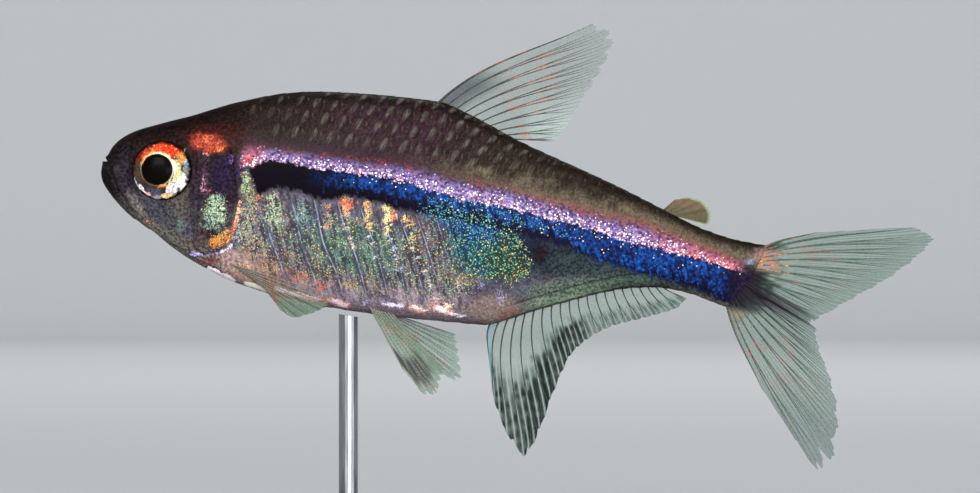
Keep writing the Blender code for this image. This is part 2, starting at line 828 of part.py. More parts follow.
def stand():
    """A flat base with rounded corners and one rod that ends one gap under the belly."""
    fore = to_world((ROD_STATION - ROD_RADIUS, 0.0, belly_height(ROD_STATION - ROD_RADIUS)))
    aft = to_world((ROD_STATION + ROD_RADIUS, 0.0, belly_height(ROD_STATION + ROD_RADIUS)))
    centre = (fore + aft) / 2
    slope = (aft.z - fore.z) / (aft.x - fore.x)
    foot = BASE_SIZE[2] - ROD_SOCKET_DEPTH
    bm = bmesh.new()
    bmesh.ops.create_cone(
        bm, cap_ends=True, segments=ROD_SIDES, radius1=ROD_RADIUS, radius2=ROD_RADIUS, depth=2.0
    )
    for v in bm.verts:
        if v.co.z > 0:
            v.co.z = centre.z - GAP + slope * v.co.x
        else:
            v.co.z = foot + GAP
        v.co.x += centre.x
    add_object("stand_rod", bm, "stand_steel")
    bm = bmesh.new()
    half_x, half_y = BASE_SIZE[0] / 2, BASE_SIZE[1] / 2
    outline = []
    for quarter in range(4):
        corner_x = (half_x - BASE_CORNER) * (1 if quarter in (0, 3) else -1)
        corner_y = (half_y - BASE_CORNER) * (1 if quarter < 2 else -1)
        for k in range(7):
            angle = math.pi / 2 * (quarter + k / 6)
            x = BASE_CENTRE_X + corner_x + BASE_CORNER * math.cos(angle)
            outline.append((x, corner_y + BASE_CORNER * math.sin(angle)))
    levels = ((0.0, 0.0), (BASE_SIZE[2] - BASE_BEVEL, 0.0), (BASE_SIZE[2], BASE_BEVEL))
    rings = []
    for height, inset in levels:
        shrink_x, shrink_y = 1 - inset / half_x, 1 - inset / half_y
        ring = []
        for x, y in outline:
            drawn_in = BASE_CENTRE_X + (x - BASE_CENTRE_X) * shrink_x
            ring.append(bm.verts.new((drawn_in, y * shrink_y, height)))
        rings.append(ring)
    bridge_rings(bm, rings)
    bm.faces.new(reversed(rings[0]))
    bm.faces.new(rings[-1])
    base = add_object("stand_base", bm, "stand_black")
    bm = bmesh.new()
    socket = Matrix.Translation((centre.x, 0.0, foot + 2.0))
    bmesh.ops.create_cone(
        bm,
        cap_ends=True,
        segments=ROD_SIDES,
        radius1=ROD_RADIUS + GAP,
        radius2=ROD_RADIUS + GAP,
        depth=4.0,
        matrix=socket,
    )
    cut_or_join(base, [cutter("rod_socket", bm, None)], "DIFFERENCE")


def build():
    clear_scene()
    fish = bpy.data.objects.new("fish", None)
    bpy.context.scene.collection.objects.link(fish)
    fish.location = SNOUT * MM
    fish.rotation_euler = (0.0, math.radians(PITCH_DEG), 0.0)
    head(fish)
    trunk(fish)
    tail_stem(fish)
    for sign, word in ((-1, "left"), (1, "right")):
        gill_cover(fish, word, sign)
        eye(fish, word, sign)
    median_fins(fish)
    paired_fins(fish)
    stand()


build()
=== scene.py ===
"""The looks of a small blue-banded tetra on its stand: skin, scales, eyes and fins over the fixed solids.

The fish is drawn level, in millimetres, in its own frame: station runs back from the front of the jaws,
side to its right and height up. Everything is then pitched head-up and set over the stand.
"""

import math
from types import SimpleNamespace

import bpy
import numpy as np
from mathutils import Matrix, Vector


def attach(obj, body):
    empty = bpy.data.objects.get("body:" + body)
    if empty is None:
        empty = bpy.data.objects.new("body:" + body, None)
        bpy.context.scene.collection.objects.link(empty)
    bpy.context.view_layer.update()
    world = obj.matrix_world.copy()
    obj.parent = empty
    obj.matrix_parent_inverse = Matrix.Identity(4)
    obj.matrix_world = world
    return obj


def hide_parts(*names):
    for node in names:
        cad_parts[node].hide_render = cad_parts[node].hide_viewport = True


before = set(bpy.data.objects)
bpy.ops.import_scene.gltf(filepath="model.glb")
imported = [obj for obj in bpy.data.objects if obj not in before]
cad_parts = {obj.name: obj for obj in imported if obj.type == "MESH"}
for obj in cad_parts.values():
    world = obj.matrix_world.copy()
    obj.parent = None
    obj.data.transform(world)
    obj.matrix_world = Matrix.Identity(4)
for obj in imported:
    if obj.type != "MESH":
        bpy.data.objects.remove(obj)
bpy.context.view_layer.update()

MM = 0.001
PITCH_DEG = 8.2
SNOUT = Vector((-26.1, 0.0, 23.7))
FISH_TO_WORLD = (
    Matrix.Translation(SNOUT * MM) @ Matrix.Rotation(math.radians(PITCH_DEG), 4, "Y") @ Matrix.Scale(MM, 4)
)
STANDARD_LENGTH = 41.25

# Station along the fish, height of the back, height of the belly, half of the width
PROFILE = (
    (0.00, 0.25, 0.15, 0.00), (0.03, 0.46, -0.08, 0.24), (0.10, 0.62, -0.33, 0.42),
    (0.20, 0.78, -0.56, 0.56), (0.30, 1.12, -0.73, 0.68), (0.50, 1.66, -0.98, 0.86),
    (1.00, 2.30, -1.50, 1.16), (1.90, 2.94, -2.25, 1.47), (2.90, 3.40, -2.88, 1.70),
    (4.00, 3.87, -3.45, 1.87), (5.20, 4.36, -4.10, 2.04), (6.40, 4.93, -4.68, 2.20),
    (7.80, 5.56, -5.20, 2.38), (9.00, 5.98, -5.60, 2.50), (10.5, 6.48, -5.90, 2.64),
    (12.5, 6.90, -6.18, 2.77), (15.0, 7.17, -6.34, 2.85), (17.5, 7.33, -6.38, 2.84),
    (20.3, 7.40, -6.33, 2.74), (21.8, 7.06, -6.25, 2.62), (23.5, 6.48, -6.16, 2.45),
    (25.2, 5.84, -6.06, 2.23), (26.5, 5.42, -5.55, 2.04), (28.0, 4.98, -4.80, 1.82),
    (30.0, 4.40, -3.92, 1.56), (32.0, 3.80, -3.08, 1.35), (34.0, 3.14, -2.45, 1.17),
    (36.0, 2.44, -2.18, 1.01), (38.0, 1.80, -2.32, 0.84), (39.6, 1.50, -2.58, 0.66),
    (STANDARD_LENGTH, 1.42, -2.80, 0.44),
)
WIDEST = 0.53
BACK_POWER = 2.05
BELLY_POWER = 2.3
TAIL_EDGE_MIDDLE = -0.6
TAIL_EDGE_LEAN = 0.45
TAIL_EDGE_CURVE = -0.06
TAIL_EDGE_STARTS = 37.0
FLESH_ROUNDS_FROM = 40.3
FLESH_ROUNDS_OVER = 1.1
GAP = 0.3

# The skin lies inside the solids by the depth of its scales
COAT_DEPTH = 0.05
SKIN_AROUND = 228

# Eye, seen from the side: centre, radius, pupil's centre and radius
EYE = (3.90, 0.62)
EYE_RADIUS = 1.84
PUPIL = (3.62, 0.66)
PUPIL_RADIUS = 0.98
# The eyeball closes behind in rings: share of its radius, and depth in millimetres. Then its hindmost point.
EYE_BACK = ((0.97, 0.55), (0.80, 0.95), (0.5, 1.25))
EYE_DEPTH = 1.35
ORBIT_RADIUS = 1.90

# Lines of the head in side view
MOUTH = ((0.10, 0.86), (0.34, 0.70), (0.60, 0.38), (0.98, -0.24), (1.40, -0.96), (1.72, -1.50))
JAW_BONE = ((0.95, 0.42), (1.75, -0.90), (2.75, -2.05))
NOSTRILS = ((1.36, 1.72, 0.13), (1.72, 1.66, 0.17))
GILL_COVER = (
    (6.62, 1.95), (7.05, 2.46), (7.75, 2.35), (8.15, 1.45), (8.45, 0.30), (8.62, -0.95), (8.62, -2.20),
    (8.48, -3.15), (8.05, -3.82), (7.30, -4.10), (6.62, -3.90), (6.45, -2.80), (6.52, -1.10),
    (6.56, 0.60),
)
CHEEK_EDGE = ((5.75, 2.35), (5.98, 0.90), (5.98, -1.10), (5.60, -2.55), (4.60, -3.20))
CHEEK_SEAMS = (
    ((2.35, -0.75), (2.00, -1.60)),
    ((3.60, -1.35), (3.45, -2.60)),
    ((5.00, -0.95), (5.80, -1.90)),
    ((5.70, 0.60), (6.10, 0.55)),
)
GILL_RAYS = (((2.60, -2.72), (5.00, -3.90), (7.60, -4.58)), ((3.60, -3.22), (6.40, -4.52), (8.30, -5.10)))
SHOULDER_BONE = ((8.95, 1.90), (9.12, 0.30), (9.12, -1.60), (8.95, -3.10), (8.45, -4.40))

# Edges of the shining stripe and of the dark blue band under it
STRIPE_TOP = (
    (8.2, 2.95), (9.5, 2.96), (11.7, 3.00), (14.5, 3.00), (16.2, 2.98), (17.9, 3.08), (19.0, 3.07),
    (20.2, 2.96), (21.3, 2.79), (22.5, 2.66), (24.9, 2.56), (26.7, 2.36), (29.2, 2.05), (31.7, 1.80),
    (34.1, 1.58), (35.7, 1.25), (37.9, 0.72), (39.1, 0.48), (41.2, 0.03),
)
STRIPE_BOTTOM = (
    (8.6, 1.58), (9.6, 1.85), (10.6, 2.22), (11.8, 2.23), (13.3, 2.16), (15.2, 2.20), (17.5, 2.19),
    (18.6, 2.13), (20.3, 1.87), (21.5, 1.76), (22.6, 1.60), (25.0, 1.50), (26.9, 1.29), (28.1, 1.16),
    (30.3, 0.94), (32.4, 0.63), (34.9, 0.32), (36.8, 0.10), (38.0, -0.02), (39.2, -0.23), (41.2, -0.60),
)
BAND_BOTTOM = (
    (9.25, 1.30), (9.7, 0.57), (10.2, -0.04), (10.5, 0.19), (11.0, 0.47), (12.5, 0.58), (13.5, 0.26),
    (14.3, 0.31), (15.8, 0.63), (17.1, 0.62), (18.3, 0.40), (20.0, 0.28), (21.7, 0.24), (25.2, -0.05),
    (28.3, -0.25), (29.5, -0.50), (30.8, -0.88), (33.3, -1.35), (35.7, -1.66), (38.2, -2.06),
    (39.5, -2.50), (41.2, -2.75),
)
# Ribs show through the flank; each leans back by this share of its drop
RIB_PLACES = (8.5, 10.0, 12.05, 13.57, 15.12, 16.6, 17.85, 19.05, 20.2, 21.4, 22.6, 23.8)
RIB_LEAN = 0.47

# Patches of pigment: station, height, half length, half height, turn in degrees, colour, strength
PIGMENT = (
    (0.62, -0.62, 1.10, 0.95, -32, "100e0d", 0.95),
    (0.95, 1.20, 0.95, 0.75, 43, "151212", 0.85),
    (4.90, 4.15, 3.80, 0.70, 25, "0b0707", 0.65),
    (1.60, 0.20, 0.70, 1.30, -10, "29242a", 0.60),
    (2.00, 0.60, 0.25, 1.40, 5, "120d12", 0.80),
    (3.20, -1.55, 1.20, 0.60, -35, "37333a", 0.70),
    (2.68, -1.72, 0.86, 0.26, -50, "6c6660", 0.65),
    (4.60, -2.15, 1.20, 0.70, -12, "363a42", 0.55),
    (5.62, -2.52, 0.30, 0.42, 0, "5c706a", 0.40),
    (6.10, -2.85, 0.30, 0.46, 0, "48465c", 0.35),
    (5.30, -1.20, 0.55, 1.10, 0, "4b4640", 0.70),
    (6.90, 3.10, 1.90, 0.90, 8, "33120f", 0.70),
    (6.48, 2.74, 0.96, 0.54, 3, "963822", 0.90),
    (7.15, 2.50, 0.60, 0.32, 12, "9a4228", 0.60),
    (6.30, 0.90, 0.35, 1.45, 0, "2a1c24", 0.60),
    (6.35, -1.30, 0.32, 1.50, 4, "2a2430", 0.60),
    (6.72, 0.40, 0.14, 1.30, 8, "5c4656", 0.55),
    (7.66, 0.85, 0.58, 1.30, 2, "20162a", 1.00),
    (8.55, 0.30, 0.35, 1.20, 2, "211622", 0.90),
    (8.75, 1.60, 0.30, 0.80, 0, "2c1f3a", 0.80),
    (7.40, -2.90, 0.70, 0.35, 5, "2e2020", 0.85),
    (6.80, -3.50, 0.55, 0.55, -30, "4a3a3c", 0.60),
    (7.60, -4.52, 1.15, 0.16, 10, "7a4044", 0.70),
    (5.60, -4.05, 1.90, 0.45, -27, "57534d", 0.80),
    (9.20, -4.30, 1.00, 0.80, 0, "9c8078", 0.80),
    (10.6, -5.05, 1.40, 0.55, -12, "ac8668", 0.65),
    (11.8, -4.60, 1.60, 0.50, -8, "8b6c66", 0.60),
    (15.4, -5.25, 3.60, 0.42, -3, "857684", 0.70),
    (20.0, -4.90, 2.60, 0.42, 3, "7d6c78", 0.60),
    (16.6, -2.40, 3.10, 1.50, 0, "44584f", 0.70),
    (24.2, -1.20, 2.30, 1.70, -5, "1a3846", 0.95),
    (23.4, -0.10, 2.60, 0.80, -8, "182a58", 0.85),
    (26.6, -0.55, 1.60, 0.60, -6, "1c2034", 0.95),
    (26.0, -1.90, 1.70, 1.30, 0, "22362e", 0.95),
    (20.8, -1.80, 1.30, 1.80, 0, "4c3e46", 0.70),
    (24.6, -4.15, 0.45, 0.80, 8, "40384a", 0.80),
    (25.6, -5.00, 1.60, 0.90, 8, "7c6a62", 0.90),
    (26.6, -5.30, 0.80, 0.40, 14, "7a4a44", 0.50),
    (31.0, -1.60, 3.20, 0.70, 2, "263032", 0.80),
    (29.5, -3.10, 2.60, 0.55, 16, "4c584a", 0.80),
    (33.0, -2.20, 2.40, 0.45, 12, "3c4a40", 0.70),
    (41.0, -1.55, 1.70, 1.20, -62, "221a2b", 1.00),
    (41.9, 0.75, 0.70, 0.50, 8, "8c7068", 0.70),
    (40.97, 0.25, 0.26, 0.24, 0, "8084a0", 0.70),
    (41.2, -3.28, 0.75, 0.50, -32, "9c8068", 0.60),
    (27.55, -0.85, 0.95, 1.25, 8, "181c28", 0.95),
    (27.94, -1.21, 0.42, 0.60, 8, "1b1217", 1.00),
)
# Patches of mirror-like cells, which show as bright wisps
SHINE = (
    (6.50, 2.76, 0.86, 0.50, 3, "c4503a", 0.55),
    (6.40, 2.95, 0.44, 0.26, 4, "dc7450", 0.66),
    (7.35, 2.45, 0.34, 0.18, 30, "ec9050", 0.72),
    (6.58, 2.03, 0.22, 0.13, 8, "e8a098", 0.70),
    (5.12, 2.11, 0.09, 0.09, 0, "ffe0d8", 0.80),
    (8.05, 1.95, 0.20, 0.30, 8, "8c5ca0", 0.38),
    (7.05, -0.14, 0.24, 0.18, 30, "c84868", 0.42),
    (6.64, 0.12, 0.14, 0.55, 4, "c48ca0", 0.52),
    (7.62, -1.38, 0.66, 0.98, 2, "a8c2a2", 0.74),
    (8.08, -1.45, 0.20, 0.70, 4, "c8d4ac", 0.60),
    (7.60, -2.30, 0.70, 0.35, 0, "7e9c90", 0.50),
    (8.15, -3.15, 0.76, 0.34, 30, "e48a3c", 0.90),
    (8.50, -2.70, 0.28, 0.22, 40, "f0b060", 0.65),
    (9.20, 0.60, 0.24, 0.70, 14, "aab06c", 0.60),
    (9.75, -0.50, 0.28, 1.00, 14, "a8a874", 0.50),
    (9.70, -2.00, 0.40, 1.30, 10, "9c9c80", 0.45),
    (9.30, -2.70, 0.45, 0.40, 0, "b8b4a8", 0.50),
    (10.3, -3.30, 0.90, 0.90, 0, "a4846a", 0.45),
    (11.2, -0.85, 0.50, 1.10, 12, "b4c49c", 0.66),
    (12.9, -0.75, 0.55, 0.80, 12, "84a09c", 0.42),
    (15.60, 0.30, 0.55, 0.26, 4, "e85c3c", 0.95),
    (16.90, 0.36, 0.32, 0.22, 6, "e0844c", 0.85),
    (18.70, -0.15, 0.15, 0.42, 22, "e87850", 0.75),
    (19.80, -0.35, 0.22, 0.36, 22, "cc8850", 0.60),
    (13.4, -4.70, 0.70, 0.40, 0, "c86c54", 0.50),
    (14.8, -5.00, 0.35, 0.28, 0, "e05c48", 0.70),
    (16.6, -4.75, 0.80, 0.22, 0, "c4a458", 0.45),
    (14.6, -5.78, 0.40, 0.12, 0, "f0a0b0", 0.80),
    (17.6, -5.70, 0.50, 0.12, 25, "a8b4d8", 0.60),
    (22.0, -4.95, 0.60, 0.22, 0, "d89898", 0.50),
    (23.2, -3.90, 0.30, 0.60, 15, "ccb0a4", 0.50),
    (25.9, -4.16, 0.26, 0.55, 8, "a89cc4", 0.60),
    (24.6, -3.55, 0.25, 0.40, 0, "9088a8", 0.45),
)
# Bright streaks, and painted highlights along the lower edge of throat and belly: points, half width at the
# start and the end, colour, strength
SHINE_AND_HIGHLIGHT_LINES = (
    (((6.52, -4.24), (6.80, -4.22), (7.05, -4.20)), 0.13, 0.10, "b4a4dc", 1.00),
    (((7.00, -4.20), (7.60, -4.06), (8.10, -3.95)), 0.06, 0.08, "a890c8", 0.70),
    (((8.10, -3.95), (8.50, -3.80), (8.86, -3.36)), 0.06, 0.08, "ecd4f0", 1.10),
    (((9.04, -0.50), (9.04, -1.30), (8.92, -2.10)), 0.10, 0.16, "ecac8c", 1.00),
    (((8.92, -1.90), (8.80, -2.50)), 0.16, 0.10, "e8643c", 1.00),
    (((3.42, -2.60), (3.75, -2.72)), 0.10, 0.10, "c88860", 0.60),
    (((14.50, -0.05), (14.55, -0.80), (14.75, -1.50)), 0.15, 0.06, "dc7850", 0.85),
    (((15.50, 0.42), (15.60, -0.20), (15.75, -0.95)), 0.30, 0.07, "f0a464", 0.95),
    (((15.72, -0.85), (16.05, -1.70), (16.50, -2.70)), 0.09, 0.05, "d8d0b0", 0.70),
    (((16.90, 0.45), (17.05, -0.40), (17.28, -1.55)), 0.24, 0.07, "f0c46c", 0.95),
    (((17.25, -1.40), (17.65, -2.40), (18.15, -3.56)), 0.08, 0.06, "c8d0e0", 0.85),
    (((18.15, 0.38), (18.35, -0.50), (18.60, -1.50)), 0.28, 0.08, "f8e494", 1.10),
    (((18.55, -1.40), (19.05, -2.45), (19.59, -3.48)), 0.08, 0.05, "b8c4dc", 0.80),
    (((19.35, -0.10), (19.75, -1.00), (20.15, -2.10)), 0.16, 0.09, "e8d080", 0.90),
    (((20.10, -2.00), (21.00, -3.40), (21.97, -4.95)), 0.08, 0.07, "dcd4dc", 0.90),
    # Painted highlights on the silvery lower edge of throat and belly: white cores, some over a wider pinkish
    # rim
    (((7.60, -4.98), (8.20, -5.14), (8.60, -5.28)), 0.12, 0.09, "fff0f2", 1.90),
    (((8.75, -5.30), (9.25, -5.46)), 0.14, 0.12, "ffece6", 1.90),
    (((10.1, -5.58), (10.7, -5.70), (11.3, -5.80)), 0.14, 0.17, "fff6e0", 1.90),
    (((11.9, -5.60), (12.6, -5.74), (13.1, -5.86)), 0.13, 0.10, "fff0f0", 1.80),
    (((13.0, -5.72), (13.8, -5.88), (14.5, -5.96)), 0.09, 0.15, "ffe4e0", 1.90),
    (((15.35, -5.82), (16.45, -6.08)), 0.24, 0.20, "e08478", 0.85),
    (((15.4, -5.82), (15.9, -5.94), (16.4, -6.06)), 0.12, 0.13, "fff0ee", 1.90),
    (((18.8, -5.58), (19.4, -5.62), (19.9, -5.60)), 0.10, 0.12, "ece0ff", 1.70),
    (((20.55, -5.56), (21.35, -5.72)), 0.23, 0.20, "d87c68", 0.85),
    (((20.6, -5.52), (21.0, -5.60), (21.3, -5.68)), 0.13, 0.12, "fff0ec", 1.90),
    (((21.9, -5.30), (22.5, -5.46), (22.9, -5.58)), 0.26, 0.22, "dc8c78", 0.85),
    (((21.95, -5.34), (22.4, -5.44), (22.8, -5.56)), 0.16, 0.14, "fffaf4", 1.90),
    (((22.6, -5.16), (22.9, -5.20)), 0.12, 0.08, "fff4c8", 1.60),
    (((23.3, -5.62), (23.7, -5.68)), 0.10, 0.08, "f8f4ff", 1.70),
)
# Where glitter lies: station, height, half length, half height, turn, amount, warmth of its colours
GLITTER = (
    (15.0, -2.70, 6.00, 2.20, -3, 0.42, 0.48),
    (12.6, -4.20, 2.60, 0.90, -5, 0.54, 0.80),
    (16.5, -4.60, 3.00, 0.70, -2, 0.52, 0.64),
    (10.3, -2.40, 0.90, 1.80, 0, 0.36, 0.72),
    (20.8, -2.80, 2.40, 2.50, 0, 0.46, 0.56),
    (22.4, 0.10, 2.20, 0.80, -8, 0.45, 0.22),
    (23.9, -0.80, 1.50, 1.60, -5, 0.78, 0.24),
    (24.4, -2.20, 1.50, 1.10, 0, 0.90, 0.38),
    (25.5, -1.45, 1.50, 1.30, -5, 0.96, 0.44),
    (26.4, -2.10, 0.90, 1.10, 0, 1.00, 0.58),
    (23.8, 0.80, 3.20, 0.60, -7, 0.30, 0.22),
    (22.6, -3.60, 1.60, 1.10, 0, 0.55, 0.54),
    (26.5, 0.75, 3.00, 0.35, -8, 0.28, 0.15),
    (7.6, -1.40, 0.80, 1.10, 4, 0.18, 0.50),
    (8.2, -3.15, 0.80, 0.42, 30, 1.00, 0.78),
    (9.3, 0.50, 0.30, 0.90, 14, 0.80, 0.55),
    (9.9, -0.50, 0.40, 0.50, 0, 0.80, 0.80),
    (9.6, -1.80, 0.40, 1.20, 0, 0.50, 0.60),
)


def rise(value, start, end):
    """Goes smoothly from 0 at start to 1 at end. The end may be the lower one."""
    share = np.clip((value - start) / (end - start), 0.0, 1.0)
    return share * share * (3 - 2 * share)


def ridge(distance, width):
    """1 on a line and fading away over that width."""
    return np.exp(-((distance / width) ** 2))


def smooth_through(keys, values):
    """A function that passes smoothly through values at keys and never overshoots between two of them."""
    keys = np.asarray(keys, float)
    values = np.asarray(values, float)
    steps = np.diff(keys)
    slopes = (np.diff(values, axis=0).T / steps).T
    before = slopes[:-1]
    after = slopes[1:]
    same_way = before * after > 0
    harmonic = 2 * before * after / np.where(same_way, before + after, 1.0)
    tangents = np.concatenate([slopes[:1], np.where(same_way, harmonic, 0.0), slopes[-1:]])

    def curve(at):
        at = np.clip(at, keys[0], keys[-1])
        i = np.clip(np.searchsorted(keys, at, side="right") - 1, 0, len(steps) - 1)
        t = (at - keys[i]) / steps[i]
        step = steps[i]
        if values.ndim > 1:
            t = np.expand_dims(t, -1)
            step = np.expand_dims(step, -1)
        start = (2 * t**3 - 3 * t**2 + 1) * values[i] + (t**3 - 2 * t**2 + t) * step * tangents[i]
        end = (3 * t**2 - 2 * t**3) * values[i + 1] + (t**3 - t**2) * step * tangents[i + 1]
        return start + end

    return curve


def line_through(points):
    """The height of a line at any station."""
    return smooth_through([x for x, _ in points], [z for _, z in points])


STATIONS = [row[0] for row in PROFILE]
back_height = smooth_through(STATIONS, [row[1] for row in PROFILE])
belly_height = smooth_through(STATIONS, [row[2] for row in PROFILE])
half_width = smooth_through(STATIONS, [row[3] for row in PROFILE])
stripe_top = line_through(STRIPE_TOP)
stripe_bottom = line_through(STRIPE_BOTTOM)
band_bottom = line_through(BAND_BOTTOM)


def middle_height(station):
    """The level at which the body is widest."""
    belly = belly_height(station)
    return belly + WIDEST * (back_height(station) - belly)


def body_surface(station, angle):
    """Points of the body at stations and angles. Angles run from the back down the right side."""
    middle = middle_height(station)
    up = np.cos(angle)
    across = np.sin(angle)
    above = up >= 0
    power = np.where(above, BACK_POWER, BELLY_POWER)
    reach = np.where(above, back_height(station) - middle, middle - belly_height(station))
    height = middle + reach * np.sign(up) * np.abs(up) ** (2 / power)
    rounding = np.clip((station - FLESH_ROUNDS_FROM) / FLESH_ROUNDS_OVER, 0, 1)
    width = half_width(station) * np.sqrt(1 - rounding**2)
    side = width * np.sign(across) * np.abs(across) ** (2 / power)
    toward_tail = np.clip((station - TAIL_EDGE_STARTS) / (STANDARD_LENGTH - TAIL_EDGE_STARTS), 0, None)
    above_middle = height - TAIL_EDGE_MIDDLE
    lean = TAIL_EDGE_LEAN * above_middle + TAIL_EDGE_CURVE * above_middle**2
    return np.stack([station + toward_tail * lean, side, height], -1)


def side_of_body(station, height):
    """How far the skin stands from the middle plane at a station and height."""
    middle = middle_height(station)
    above = height >= middle
    reach = np.where(above, back_height(station) - middle, middle - belly_height(station))
    power = np.where(above, BACK_POWER, BELLY_POWER)
    share = np.clip(np.abs(height - middle) / reach, 0, 1)
    return half_width(station) * (1 - share**power) ** (1 / power)


def from_line(places, line):
    """Distance of (station, height) places from a line of points, and how far along it each lies, 0 to 1."""
    line = np.asarray(line, float)
    lengths = np.linalg.norm(np.diff(line, axis=0), axis=1)
    starts = np.concatenate([[0.0], np.cumsum(lengths)])
    nearest = np.full(places.shape[:-1], np.inf)
    along = np.zeros_like(nearest)
    for i, length in enumerate(lengths):
        run = line[i + 1] - line[i]
        share = np.clip((places - line[i]) @ run / length**2, 0, 1)
        distance = np.linalg.norm(places - line[i] - share[..., None] * run, axis=-1)
        closer = distance < nearest
        nearest = np.where(closer, distance, nearest)
        along = np.where(closer, (starts[i] + share * length) / starts[-1], along)
    return nearest, along


def depth_inside(places, outline):
    """Distance of places from a closed outline, positive inside it."""
    closed = [*outline, outline[0]]
    distance, _ = from_line(places, closed)
    inside = np.zeros(distance.shape, bool)
    for (x0, z0), (x1, z1) in zip(closed, closed[1:]):
        straddles = (places[..., 1] < z0) != (places[..., 1] < z1)
        crossing = x0 + (places[..., 1] - z0) * (x1 - x0) / ((z1 - z0) or 1.0)
        inside ^= straddles & (places[..., 0] < crossing)
    return np.where(inside, distance, -distance)


def rounded_outline(points, count):
    """A closed smooth outline through points, with count even steps."""
    closed = [*points[-2:], *points, *points[:3]]
    curve = smooth_through(np.arange(len(closed)), np.array(closed))
    at = 2 + np.arange(count) * len(points) / count
    return [tuple(p) for p in curve(at)]


def cloud(points, size, seed):
    """Smooth noise from 0 to 1 that changes over that many millimetres."""
    scaled = np.asarray(points, float) / size + 1000.0
    cell = np.floor(scaled).astype(np.int64)
    share = scaled - cell
    share = share * share * (3 - 2 * share)
    total = np.zeros(scaled.shape[:-1])
    for corner in np.ndindex(2, 2, 2):
        x, y, z = (cell[..., k] + corner[k] for k in range(3))
        mixed = (x * 73856093) ^ (y * 19349663) ^ (z * 83492791) ^ (seed * 26544357)
        mixed = ((mixed ^ (mixed >> 13)) * 1274126177) & 0x7FFFFFFF
        value = ((mixed ^ (mixed >> 16)) & 0xFFFF) / 0xFFFF
        weight = np.ones(total.shape)
        for k in range(3):
            weight = weight * (share[..., k] if corner[k] else 1 - share[..., k])
        total += value * weight
    return total


def colour(hex_code):
    """An sRGB hex colour as linear red, green, blue and full opacity."""
    parts = [int(hex_code[i : i + 2], 16) / 255 for i in (0, 2, 4)]
    linear = [c / 12.92 if c <= 0.04045 else ((c + 0.055) / 1.055) ** 2.4 for c in parts]
    return (*linear, 1.0)


def tone(hex_code):
    """The same colour as an array of red, green and blue."""
    return np.array(colour(hex_code)[:3])


def laid_over(under, *coats):
    """Colours laid over an array of colours, each a hex code with its amount at every place."""
    for hex_code, amount in coats:
        amount = np.clip(amount, 0, 1)[..., None]
        under = under * (1 - amount) + tone(hex_code) * amount
    return under


def plain(points, hex_code):
    """One colour at every point."""
    return np.broadcast_to(tone(hex_code), points.shape)


def patch_amount(places, station, height, long, high, turn, softness=0.45):
    """How strongly a turned oval patch covers each place, fading at its rim."""
    angle = math.radians(turn)
    x = places[..., 0] - station
    z = places[..., 1] - height
    along = (x * math.cos(angle) + z * math.sin(angle)) / long
    across = (z * math.cos(angle) - x * math.sin(angle)) / high
    return 1 - rise(np.sqrt(along**2 + across**2), 1 - softness, 1 + softness)


def tube(rings, around):
    """Numbers of the points on rings, of their neighbours round each ring, and faces between rings."""
    index = np.arange(rings * around).reshape(rings, around)
    following = np.roll(index, -1, axis=1)
    quads = np.stack([index[:-1], index[1:], following[1:], following[:-1]], -1).reshape(-1, 4)
    return index, following, quads.tolist()


def in_scene(name, data):
    """A new object of the scene, with its mesh, light or camera."""
    made = bpy.data.objects.new(name, data)
    bpy.context.scene.collection.objects.link(made)
    return made


def smooth(mesh, sharp_from=None):
    """Shades a mesh smoothly, apart from edges that are sharper than an angle in degrees."""
    mesh.polygons.foreach_set("use_smooth", [True] * len(mesh.polygons))
    if sharp_from is not None:
        mesh.set_sharp_from_angle(angle=math.radians(sharp_from))


def mesh_object(name, points, faces, sharp_from=None):
    """A mesh object from points of the fish in millimetres."""
    mesh = bpy.data.meshes.new(name)
    mesh.from_pydata(np.asarray(points, float).tolist(), [], [tuple(map(int, f)) for f in faces])
    mesh.transform(FISH_TO_WORLD)
    smooth(mesh, sharp_from)
    return in_scene(name, mesh)


def fish_places(mesh):
    """The points of a mesh in the fish's own frame, in millimetres."""
    flat = np.empty(len(mesh.vertices) * 3)
    mesh.vertices.foreach_get("co", flat)
    back = np.array(FISH_TO_WORLD.inverted())
    return flat.reshape(-1, 3) @ back[:3, :3].T + back[:3, 3]


def keep_numbers(mesh, name, values):
    """Keeps one number for each point under a name that materials read."""
    kept = mesh.attributes.new(name, "FLOAT", "POINT")
    kept.data.foreach_set("value", np.asarray(values, np.float32).ravel())


def keep_colours(mesh, name, values):
    """Keeps one colour for each point under a name that materials read."""
    rgba = np.ones((len(values), 4), np.float32)
    rgba[:, : values.shape[1]] = values
    mesh.attributes.new(name, "FLOAT_COLOR", "POINT").data.foreach_set("color", rgba.ravel())


def keep_places(mesh, name, values):
    """Keeps one vector for each point under a name that node trees read."""
    kept = mesh.attributes.new(name, "FLOAT_VECTOR", "POINT")
    kept.data.foreach_set("vector", np.asarray(values, np.float32).ravel())


# Nodes that many trees use, with their settings
FADE = ("ShaderNodeMapRange", {"interpolation_type": "SMOOTHSTEP"})
SCALED = ("ShaderNodeMath", {"operation": "MULTIPLY_ADD"})
LARGER = ("ShaderNodeMath", {"operation": "MAXIMUM"})
BETWEEN = ("ShaderNodeMapRange", {"interpolation_type": "LINEAR"})
RAMP = ("ShaderNodeValToRGB", {})
KEPT = ("ShaderNodeAttribute", {})
MATH = ("ShaderNodeMath", {})
NOISE = ("ShaderNodeTexNoise", {})
XYZ = ("ShaderNodeSeparateXYZ", {})
NAMED = ("GeometryNodeInputNamedAttribute", {})
ALIGNED = ("FunctionNodeAlignRotationToVector", {})
SHADED = ("ShaderNodeMix", {"data_type": "RGBA", "blend_type": "MULTIPLY"})


